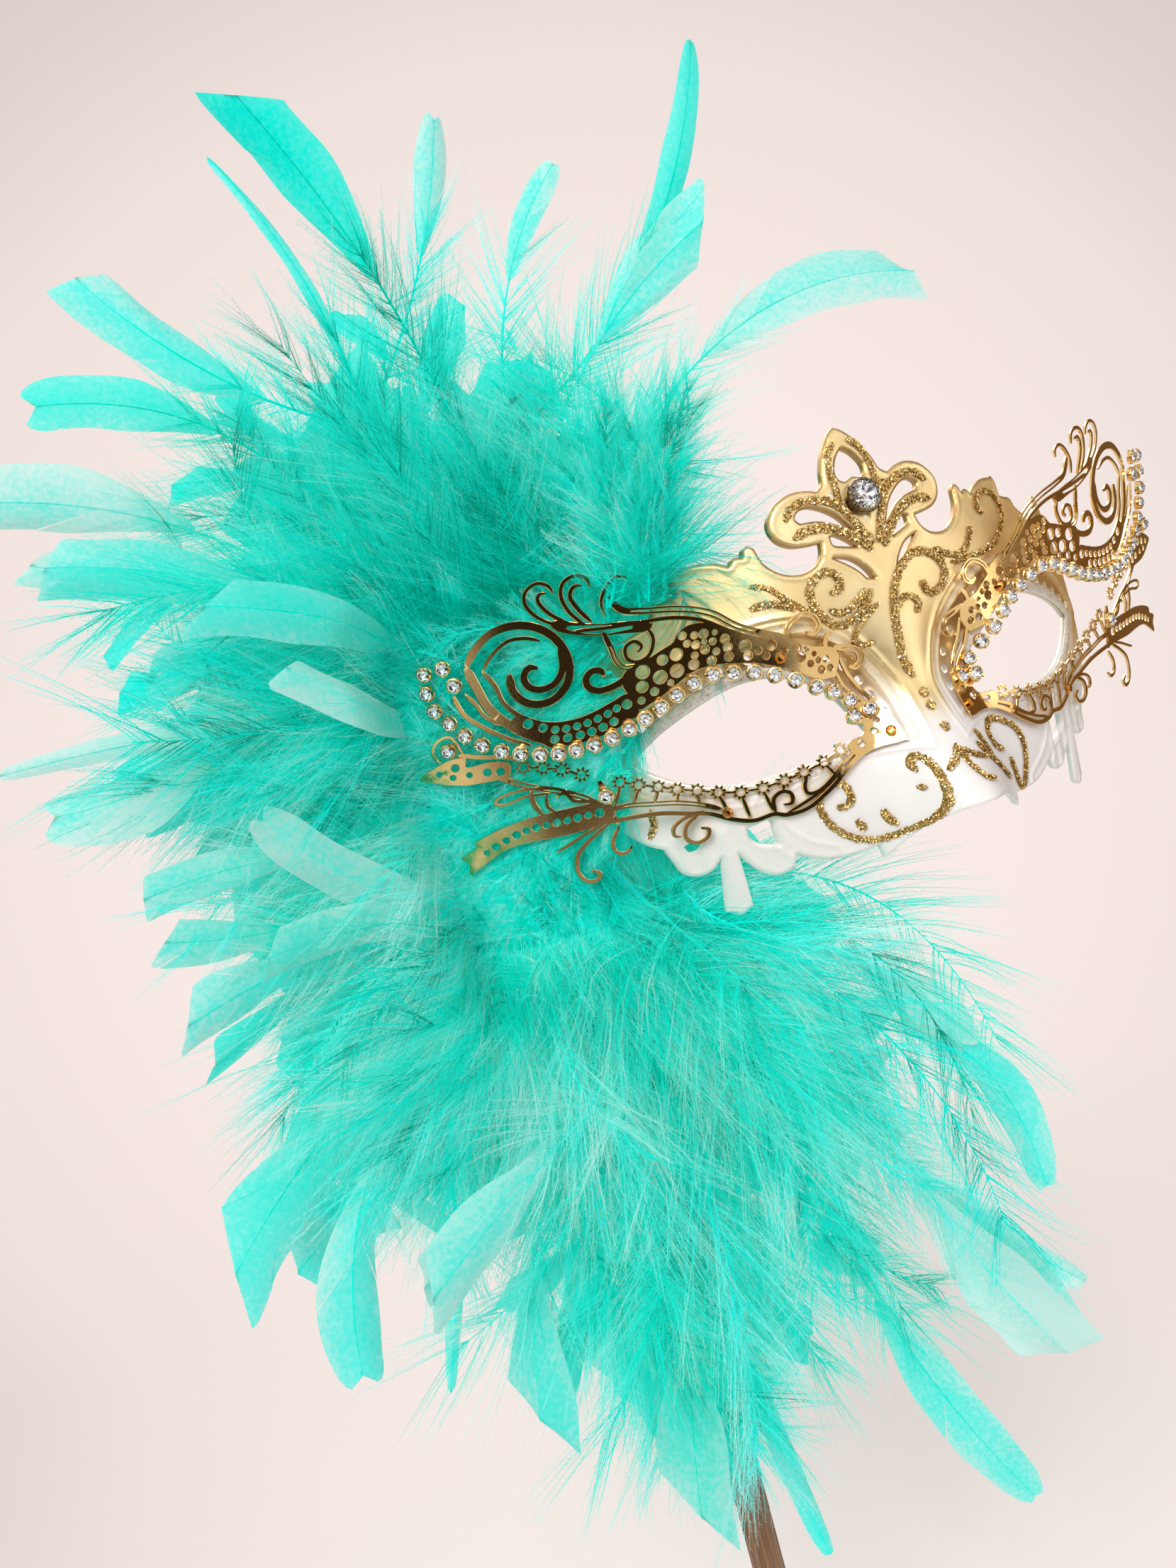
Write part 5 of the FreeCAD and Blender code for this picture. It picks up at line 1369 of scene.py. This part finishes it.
def stroke_sides(points, width, side):
    """Middle line of a stroke, its direction across and its half widths."""
    path = smooth_line([(side * u, z) for u, z in points], STROKE_STEP)
    t = np.linspace(0, 1, len(path)) * len(path) * STROKE_STEP
    half = 0.5 * width * np.minimum(1.0, 0.45 + 0.45 * np.minimum(t, t[::-1]))
    half = half * (1 + 0.10 * np.sin(t * 2.1 + width * 9) + 0.06 * np.sin(t * 5.3))
    return path, across_of(path), half


def glitter_stroke(points, width, side, out):
    """Glue mound with flakes scattered over it."""
    path, across, half = stroke_sides(points, width, side)
    n, k = len(path), len(MOUND)
    flat = path[:, None] + across[:, None] * half[:, None, None] * MOUND[None, :, :1]
    x, z = flat[..., 0], flat[..., 1]
    rise = np.broadcast_to(MOUND[None, :, 1], (n, k)) * np.clip(half[:, None] / 0.5, 0.4, 1.1)
    mound = np.stack([x, shell_front(x, z) - rise, z], axis=-1).reshape(-1, 3)
    base = (np.arange(n - 1)[:, None] * k + np.arange(k - 1)[None]).reshape(-1, 1)
    faces = np.concatenate([base + [0, k, 1], base + [1, k, k + 1]])
    out.add(mound, faces, np.tile(MOUND_TONE, (n * k, 1)))
    count = int(STROKE_STEP * n * width * FLAKES_PER_MM2)
    row = rng.uniform(0, n - 1, count)
    low = row.astype(int)
    part = (row - low)[:, None]
    offset = rng.uniform(-1, 1, count)
    middle = path[low] * (1 - part) + path[np.minimum(low + 1, n - 1)] * part
    spot = middle + across[low] * (half[low] * offset * 1.08)[:, None]
    scatter_flakes(spot, 0.20 + 0.36 * np.sqrt(1 - 0.9 * offset ** 2), out)


def scatter_flakes(spot, rise, out):
    """Small five-cornered flakes that lie over the shell and face many ways."""
    count = len(spot)
    x, z = spot[:, 0], spot[:, 1]
    outward = out_of(shell_front, x, z)
    normal = unit(outward + rng.normal(0, 0.42, (count, 3)))
    lift = (rise + rng.uniform(0.0, 0.16, count)) / np.clip(-outward[:, 1], 0.5, 1.0)
    middle = np.stack([x, shell_front(x, z) - lift, z], axis=1)
    first = unit(np.cross(normal, rng.normal(0, 1, (count, 3))))
    second = np.cross(normal, first)
    radius = rng.uniform(*FLAKE_RADII, count)[:, None]
    corners = [middle + (first * math.cos(a) + second * math.sin(a)) * radius
               for a in FLAKE_CORNERS]
    base = np.arange(count)[:, None] * 5
    faces = np.concatenate([base + [0, 1, 2], base + [0, 2, 3], base + [0, 3, 4]])
    flake = np.repeat(np.clip(rng.normal(0.55, 0.28, count), 0, 1), 5)
    tones = np.stack([flake, np.zeros_like(flake), flake, np.ones_like(flake)], axis=1)
    out.add(np.stack(corners, axis=1).reshape(-1, 3), faces, tones)


def glitter_dot(x, z, radius, out):
    a = rng.uniform(0, 2 * math.pi, int(FLAKES_PER_MM2 * 3.2 * radius ** 2) + 8)
    r = radius * np.sqrt(rng.uniform(0, 1, len(a)))
    spot = np.stack([x + r * np.cos(a), z + r * np.sin(a)], axis=1)
    scatter_flakes(spot, 0.55 - 0.3 * (r / radius) ** 2, out)


def glitter_piece(name, strokes, sides, dots, made):
    out = Bunch(free=True)
    for width, points in strokes:
        for side in sides:
            glitter_stroke(points, width, side, out)
    for x, z in dots:
        glitter_dot(x, z, DOT_R, out)
    out.piece(name, made, "gold_glitter", name, smooth=False)


GLITTER = glitter_material()
glitter_piece("glitter_crown", CROWN_GLITTER, (-1, 1), (), GLITTER)
glitter_piece("glitter_forehead", FOREHEAD_GLITTER, (-1,), (), GLITTER)
glitter_piece("glitter_face", FACE_GLITTER, (-1,), DOTS, GLITTER)


# ---------------------------------------------------------------- stones
CROWN_HEIGHT = 50.8
STONE_R = 1.42
CUP_R = 1.85
GEM_R = 3.4
CUP_SIDES = 20
SETTING_SIDES = 64
SETTING_TEETH = 16
# radius and height of the turned profiles, from the foot outward and back
CUP_SECTION = [(0.3, 0.0), (CUP_R, 0.0), (CUP_R, 0.25), (CUP_R * 0.93, 0.45), (CUP_R * 0.96, 1.1),
               (STONE_R + 0.08, 1.2), (STONE_R + 0.06, 0.4), (0.3, 0.3)]
# radius, height and half width up a claw
CLAW = [(CUP_R + 0.02, 0.3, 0.32), (CUP_R + 0.06, 1.15, 0.30), (CUP_R - 0.12, 1.55, 0.26),
        (1.12, 1.72, 0.14)]
# radius, height and whether the ring is toothed
SETTING = [(0.4, 0.0, 0), (GEM_R + 0.6, 0.0, 0), (GEM_R + 0.6, 1.5, 0), (GEM_R + 0.42, 2.2, 1),
           (GEM_R + 0.02, 2.55, 1), (GEM_R - 0.12, 2.45, 1), (GEM_R + 0.02, 0.8, 0), (0.4, 0.6, 0)]


def stone_spot(side, u, z, depth, lift):
    """Spot on a sheet with the direction out of it."""
    x, z = np.array([side * u]), np.array([z])
    out = out_of(depth, x, z)[0]
    return np.array([x[0], depth(x, z)[0], z[0]]) + out * lift, out


def turn_to(out):
    """Two directions across a spot's outward direction."""
    first = np.cross(out, [0.0, 0.0, 1.0])
    first = first / np.linalg.norm(first)
    return first, np.cross(out, first)


class Facets:
    """Points and flat faces of the stones, foils or cups of one piece."""

    def __init__(self):
        self.points = []
        self.faces = []

    def ring(self, base, out, radius, height, count, phase):
        """Adds a ring of points and gives the number of its first one."""
        start = len(self.points)
        first, second = turn_to(out)
        a = np.linspace(0, 2 * math.pi, count, endpoint=False) + phase
        self.points.extend(base + out * height + np.outer(np.cos(a) * radius, first)
                           + np.outer(np.sin(a) * radius, second))
        return start

    def tip(self, point):
        self.points.append(point)
        return len(self.points) - 1

    def turned(self, base, out, section, sides, phase):
        """Rings of a profile with bridges between them."""
        rings = [self.ring(base, out, radius, height, sides, phase) for radius, height in section]
        for a, b in zip(rings, rings[1:]):
            self.faces += bridge(a, b, sides)

    def stone(self, base, out, radius, low, girdle, top, table, sides, phase):
        """Cut crystal: table, kite facets, girdle and a cone below."""
        half = sides // 2
        g0 = self.ring(base, out, radius, girdle - 0.12, sides, phase)
        g1 = self.ring(base, out, radius, girdle, sides, phase)
        m = self.ring(base, out, 0.5 * (radius + table) * 1.04, 0.5 * (girdle + top) + 0.05 * top,
                      half, phase + math.pi / sides)
        t = self.ring(base, out, table, top, half, phase)
        tip = self.tip(base + out * low)
        self.faces += bridge(g0, g1, sides)
        for i in range(half):
            j = (i + 1) % half
            a, b, c = g1 + 2 * i, g1 + 2 * i + 1, g1 + (2 * i + 2) % sides
            self.faces += [(a, b, m + i), (b, c, m + i), (a, m + i, t + i), (m + i, c, t + j),
                           (m + i, t + j, t + i)]
        self.faces.append(tuple(range(t, t + half)))
        self.faces += [(g0 + (i + 1) % sides, g0 + i, tip) for i in range(sides)]

    def foil(self, base, out, radius, low, girdle, sides, phase):
        """Mirrored facets under a crystal."""
        upper = self.ring(base, out, radius, girdle, sides, phase)
        lower = self.ring(base, out, radius * 0.55, low + (girdle - low) * 0.45, sides,
                          phase + math.pi / sides)
        tip = self.tip(base + out * low)
        for i in range(sides):
            j = (i + 1) % sides
            a, b, c, d = upper + i, upper + j, lower + i, lower + j
            self.faces += [(a, b, c), (b, d, c), (c, d, tip)]

    def cup(self, base, out, phase):
        """Cup with four claws folded over the stone."""
        self.turned(base, out, CUP_SECTION, CUP_SIDES, phase)
        first, second = turn_to(out)
        for q in range(4):
            a = phase + math.pi / 4 + q * math.pi / 2
            radial = first * math.cos(a) + second * math.sin(a)
            across = second * math.cos(a) - first * math.sin(a)
            claw = len(self.points)
            for r, h, w in CLAW:
                for s in (-1, 1):
                    self.points.append(base + radial * r + out * h + across * s * w)
                    self.points.append(base + radial * (r - 0.16) + out * (h - 0.1)
                                       + across * s * w)
            for a0 in range(claw, claw + 12, 4):
                for i, j in ((0, 2), (2, 3), (3, 1), (1, 0)):
                    self.faces.append((a0 + i, a0 + j, a0 + 4 + j, a0 + 4 + i))
            self.faces.append((claw + 12, claw + 14, claw + 15, claw + 13))
            self.faces.append((claw, claw + 1, claw + 3, claw + 2))

    def piece(self, name, made, slot, node):
        mesh_piece(name, np.array(self.points), self.faces, made, node, smooth=False)


def crystal_material():
    nodes = material("cut_crystal")
    tint = nodes.ramp(nodes.noise(900.0, 2.0), (0.3, 0.88, 0.90, 0.95), (0.7, 0.99, 0.99, 1.0))
    return nodes.finish(nodes.principled(Base_Color=tint, Roughness=0.02, IOR=1.7,
                                         Transmission_Weight=1.0, Specular_IOR_Level=0.7))


def foil_material():
    nodes = material("silver_foil")
    tint = nodes.ramp(nodes.noise(1200.0, 2.0), (0.3, 0.60, 0.60, 0.62), (0.7, 0.92, 0.92, 0.94))
    return nodes.finish(nodes.principled(Base_Color=tint, Metallic=1.0, Roughness=0.06))


def metal_plate(name, dark, bright, low, high):
    """Metal in two shades, with its least and greatest roughness."""
    nodes = material(name)
    tint = nodes.ramp(nodes.noise(90.0), (0.3, *dark), (0.7, *bright))
    fine = nodes.noise(1500.0, 2.0)
    return nodes.finish(nodes.principled(
        Base_Color=tint, Metallic=1.0, Roughness=nodes.span(fine, 0.3, 0.7, low, high),
        Normal=nodes.bump(fine, 0.08, 0.0001)))


CRYSTAL = crystal_material()
FOIL = foil_material()
CUP_GOLD = metal_plate("cup_gold", (0.72, 0.47, 0.20), (0.92, 0.70, 0.36), 0.12, 0.22)
FILIGREE_GOLD = metal_plate("filigree_gold", (0.70, 0.44, 0.16), (0.86, 0.60, 0.27), 0.06, 0.13)
AMBER_METAL = metal_plate("amber_metal", (0.45, 0.17, 0.03), (0.72, 0.34, 0.08), 0.10, 0.2)
DARK_METAL = metal_plate("dark_setting", (0.10, 0.07, 0.04), (0.34, 0.26, 0.16), 0.2, 0.35)


def chain(side, name):
    """Row of stones in cups, each turned and leant a little by hand."""
    stones, foils, cups = Facets(), Facets(), Facets()
    for u, z in CHAIN:
        base, out = stone_spot(side, u, z, metal_front, 0.02)
        out = out + rng.normal(0, 0.035, 3)
        out = out / np.linalg.norm(out)
        phase = rng.uniform(0, math.pi)
        stones.stone(base, out, STONE_R, low=0.42, girdle=1.25, top=2.0, table=0.82, sides=16,
                     phase=phase)
        foils.foil(base, out, STONE_R - 0.02, low=0.36, girdle=1.1, sides=12, phase=phase)
        cups.cup(base, out, phase)
    stones.piece("stones_" + name, CRYSTAL, "stone", "stones_" + name)
    foils.piece("foils_" + name, FOIL, "stone", "stones_" + name)
    cups.piece("stone_cups_" + name, CUP_GOLD, "cup", "stone_cups_" + name)


def crown_jewel():
    """Large stone of the crown in its toothed setting."""
    base, out = stone_spot(1, 0.0, CROWN_HEIGHT, shell_front, 0.12)
    gem, foil, setting = Facets(), Facets(), Facets()
    gem.stone(base, out, GEM_R - 0.05, low=0.9, girdle=2.35, top=3.9, table=1.9, sides=20,
              phase=0.2)
    foil.foil(base, out, GEM_R - 0.1, low=0.85, girdle=2.1, sides=16, phase=0.2)
    around = np.linspace(0, 2 * math.pi, SETTING_SIDES, endpoint=False)
    teeth = 0.022 * np.sign(np.cos(around * SETTING_TEETH))
    section = [(radius * (1 + teeth * toothed), height)
               for radius, height, toothed in SETTING]
    setting.turned(base, out, section, SETTING_SIDES, 0.0)
    gem.piece("crown_gem", CRYSTAL, "stone", "crown_gem")
    foil.piece("crown_foil", FOIL, "stone", "crown_gem")
    setting.piece("crown_setting", DARK_METAL, "setting", "crown_setting")


for label, way in SIDES.items():
    chain(way, label)
crown_jewel()


# ---------------------------------------------------------------- rivets
def paint(node, made):
    """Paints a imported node, which then needs no piece of its own."""
    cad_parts[node].data.materials.clear()
    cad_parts[node].data.materials.append(made)


for label in SIDES:
    paint("rivets_" + label, AMBER_METAL)


# ---------------------------------------------------------------- filigree
THIN = 0.80
CHAMFER = 0.09
HOLE_GROWTH = 1.12
LINE = 0.46
SPLIT_WIDTHS = (1.5, 1.7, 1.8, 2.0, 3.2)
SPLIT_LENGTH = 7.0
BAR_WIDTH = 0.75
BAR_START = 1.15
METAL_SHARP = 24.0
SLIVER = 1e-7
PITCH = 0.42
# outlines with their round holes
PLATES = [(BROW_LATTICE, LATTICE_HOLES), (WING_BAND, BAND_HOLES), (FISHTAIL, FISHTAIL_HOLES),
          (LEAF, LEAF_HOLES), (INNER_PLATE, INNER_HOLES)]


class Stroke:
    """Narrow strip of metal along a smooth path, some of them split into two lines."""

    def __init__(self, points, width, side, split=False):
        self.path = smooth_line([(side * u, z) for u, z in points], PITCH)
        self.across = across_of(self.path)
        count = len(self.path)
        index = np.arange(count)
        end = np.minimum(index, count - 1 - index) * PITCH
        self.half = 0.5 * width * np.minimum(1.0, 0.5 + 0.3 * end)
        self.slit = None
        if split and count * PITCH > SPLIT_LENGTH:
            inner = (index > 0.16 * count) & (index < 0.84 * count)
            share = (index[inner] - 0.16 * count) / (0.68 * count)
            arch = np.sin(math.pi * np.clip(share, 0, 1)) ** 0.6
            gap = max(0.16, 0.5 * width - LINE) * arch + 0.03
            self.slit = (self.path[inner], self.across[inner], gap)

    def loop(self, inset=0.0):
        return self.band(self.path, self.across, self.half - inset)

    def slit_loop(self, outset=0.0):
        path, across, gap = self.slit
        return self.band(path, across, gap + outset)

    @staticmethod
    def band(path, across, half):
        half = np.maximum(half, 0.02)[:, None]
        return np.vstack([path + across * half, (path - across * half)[::-1]])

    def covers(self, points):
        hit = inside(points, [self.loop()])
        hit |= distance_to(points, self.path[1:-1]) < self.half.max() * 0.5
        if self.slit is not None:
            hit &= ~inside(points, [self.slit_loop()])
        return hit

    def lines(self):
        loops = [self.loop(), self.loop(CHAMFER)]
        if self.slit is not None:
            loops += [self.slit_loop(), self.slit_loop(CHAMFER)]
        return loops


def inner_loop(loop, inset):
    """Loop moved inward by a small distance."""
    step = unit(np.roll(loop, -1, axis=0) - np.roll(loop, 1, axis=0))
    normal = np.stack([-step[:, 1], step[:, 0]], axis=1)
    x, z = loop[:, 0], loop[:, 1]
    area = np.sum(x * np.roll(z, -1) - np.roll(x, -1) * z)
    return loop + normal * inset * (1 if area > 0 else -1)


def star_loop(x, z, radius, turn):
    """Ring with eight small teeth."""
    a = np.linspace(0, 2 * math.pi, 32, endpoint=False)
    r = radius * (0.80 + 0.20 * np.clip(np.cos(8 * (a - turn)) * 1.6, -1, 1))
    return np.stack([x + r * np.cos(a), z + r * np.sin(a)], axis=1)


def star_bars(stars):
    """Short bars that link a row of stars."""
    bars = []
    for a, b in zip(stars[:-1], stars[1:]):
        t = BAR_START / math.hypot(b[0] - a[0], b[1] - a[1])
        bars.append([(a[0] + (b[0] - a[0]) * t, a[1] + (b[1] - a[1]) * t),
                     (b[0] - (b[0] - a[0]) * t, b[1] - (b[1] - a[1]) * t)])
    return bars


def filigree_parts(side):
    bars = star_bars(STARS) + star_bars(UPPER_STARS) + STAR_POSTS
    strokes = [Stroke(points, width * THIN, side, width in SPLIT_WIDTHS)
               for width, points in RIBBONS]
    strokes += [Stroke(bar, BAR_WIDTH, side) for bar in bars]
    plates, holes = [], []
    for outline, round_holes in PLATES:
        closed = [(side * u, z) for u, z in outline + outline[:1]]
        plates.append(smooth_line(closed, PITCH)[:-1])
        holes += [(side * u, z, r * HOLE_GROWTH) for u, z, r in round_holes]
    for u, z in STARS + UPPER_STARS:
        plates.append(star_loop(side * u, z, STAR_R, 0.1 * u))
        holes.append((side * u, z, STAR_HOLE))
    return strokes, plates, holes


def lace(side, name):
    """Pierced metal sheet with a small bright chamfer round every edge."""
    strokes, plates, holes = filigree_parts(side)
    loops = [loop for stroke in strokes for loop in stroke.lines()]
    loops += plates + [inner_loop(plate, CHAMFER) for plate in plates]
    loops += [ring(x, z, r + more, 16) for x, z, r in holes for more in (0.0, CHAMFER)]
    points, faces = triangulate(loops, [], 1e-4)
    middle = points[faces].mean(axis=1)
    metal = np.zeros(len(faces), dtype=bool)
    for stroke in strokes:
        near = np.where(box_holds(stroke.path, 3, middle) & ~metal)[0]
        metal[near] = stroke.covers(middle[near])
    for plate in plates:
        metal |= inside(middle, [plate])
    for x, z, r in holes:
        metal &= np.hypot(middle[:, 0] - x, middle[:, 1] - z) > r * 0.995
    faces = faces[metal]
    faces = faces[turn_alike(points, faces) > SLIVER]
    y = metal_front(points[:, 0], points[:, 1])
    drop = np.zeros(len(points))
    drop[np.unique(border_edges(faces))] = CHAMFER
    solid_sheet(name, points, faces, y + drop, y + METAL_T, FILIGREE_GOLD, name,
                METAL_SHARP)


for label, way in SIDES.items():
    lace(way, "filigree_" + label)


# ---------------------------------------------------------------- stick
def stick_wood():
    """Stained wood with its grain drawn out along the stick."""
    nodes = material("stained_wood")
    mapping = nodes.make("ShaderNodeMapping", Vector=nodes.coords())
    mapping.inputs["Scale"].default_value = (1.0, 1.0, 0.06)
    long_way = mapping.outputs["Vector"]
    grain = nodes.noise(900.0, 4.0, 0.6, long_way, 0.6)
    pores = nodes.noise(2600.0, 2.0, 0.5, long_way)
    wood = nodes.ramp(grain, (0.25, 0.065, 0.026, 0.010), (0.5, 0.17, 0.075, 0.030),
                      (0.75, 0.30, 0.15, 0.065))
    worn = nodes.span(nodes.noise(40.0), 0.35, 0.7, 0.0, 0.35)
    return nodes.finish(nodes.principled(
        Base_Color=nodes.mix(worn, wood, (0.36, 0.19, 0.09)),
        Roughness=nodes.span(pores, 0.3, 0.7, 0.35, 0.55), Coat_Weight=0.25, Coat_Roughness=0.3,
        Normal=nodes.bump(grain, 0.25, 0.0002)))


paint("stick", stick_wood())


# ---------------------------------------------------------------- felt pad
FELT_VOXEL = 0.0011
FELT_INSET = 0.00025


def felt_material():
    nodes = material("pressed_felt")
    fibres = nodes.noise(1500.0, 5.0, 0.7, None, 1.5)
    base = nodes.ramp(nodes.noise(120.0), (0.3, 0.70, 0.64, 0.57), (0.7, 0.86, 0.82, 0.76))
    colour = nodes.mix(nodes.span(fibres, 0.3, 0.7, 0.0, 0.5), base, (0.93, 0.90, 0.86))
    return nodes.finish(nodes.principled(
        Base_Color=colour, Roughness=0.9, Sheen_Weight=0.4, Sheen_Roughness=0.5,
        Normal=nodes.bump(fibres, 0.6, 0.0004)))


def felt_pad():
    """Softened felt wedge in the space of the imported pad."""
    pad = add_object("felt_pad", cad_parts["backing_pad"].data.copy())
    remesh = pad.modifiers.new("even", "REMESH")
    remesh.mode = "VOXEL"
    remesh.voxel_size = FELT_VOXEL
    soften = pad.modifiers.new("soften", "SMOOTH")
    soften.factor = 0.6
    soften.iterations = 6
    bpy.context.view_layer.update()
    done = bpy.data.meshes.new_from_object(
        pad.evaluated_get(bpy.context.evaluated_depsgraph_get()))
    pad.modifiers.clear()
    pad.data = done
    normals = np.array([v.normal for v in done.vertices])
    spots = np.array([v.co for v in done.vertices])
    x, y, z = spots.T
    ripple = np.sin(x * 900) * np.sin(z * 700 + 1) + np.sin(y * 1500)
    fuzz = rng.normal(0, 0.00005, len(spots))
    spots = spots + normals * (ripple * 0.00010 - FELT_INSET + fuzz)[:, None]
    done.vertices.foreach_set("co", spots.ravel())
    done.update()
    done.materials.clear()
    done.materials.append(felt_material())
    done.polygons.foreach_set("use_smooth", [True] * len(done.polygons))
    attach(pad, "root")
    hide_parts("backing_pad")


felt_pad()


# ---------------------------------------------------------------- thread core
CORE = [(-79.6, 43, 46), (-80.8, 42.4, 28), (-81.8, 42.2, 8), (-82.9, 42.4, -12), (-84, 43, -30)]
CORE_R = 2.55
THREAD_R = 0.42
THREAD_PACKING = 0.96
STEPS_IN_TURN = 16
THREAD_SIDES = 6


def thread_material():
    nodes = material("wound_thread")
    twist = nodes.noise(2200.0)
    tint = nodes.ramp(twist, (0.3, 0.0, 0.22, 0.18), (0.7, 0.02, 0.46, 0.38))
    return nodes.finish(nodes.principled(Base_Color=tint, Roughness=0.7, Sheen_Weight=0.5,
                                         Normal=nodes.bump(twist, 0.5, 0.0002)))


def thread_core():
    """Thread wound in close turns over the quills of the feathers."""
    way = np.array(CORE)
    gone = np.concatenate([[0], np.cumsum(np.linalg.norm(np.diff(way, axis=0), axis=1))])
    turns = gone[-1] / (2 * THREAD_R * THREAD_PACKING)
    count = int(turns * STEPS_IN_TURN)
    t = np.linspace(0, 1, count)
    line = np.stack([np.interp(t, gone / gone[-1], way[:, a]) for a in range(3)], axis=1)
    ahead = unit(np.gradient(line, axis=0))
    across = unit(np.cross(ahead, [0.0, -1.0, 0.0]))
    other = np.cross(ahead, across)
    a = (t * turns * 2 * math.pi)[:, None]
    radial = across * np.cos(a) + other * np.sin(a)
    corners = [line + radial * CORE_R + (radial * math.cos(b) + ahead * math.sin(b)) * THREAD_R
               for b in 2 * math.pi * np.arange(THREAD_SIDES) / THREAD_SIDES]
    points = np.stack(corners, axis=1).reshape(-1, 3)
    base = np.arange(count - 1)[:, None] * THREAD_SIDES
    faces = []
    for k in range(THREAD_SIDES):
        j = (k + 1) % THREAD_SIDES
        faces += [base + [k, j, THREAD_SIDES + j], base + [k, THREAD_SIDES + j, THREAD_SIDES + k]]
    bunch = Bunch()
    bunch.add(points, np.concatenate(faces), np.ones((len(points), 4)))
    bunch.piece("thread_core", thread_material(), "cord", "plume_cord")


thread_core()
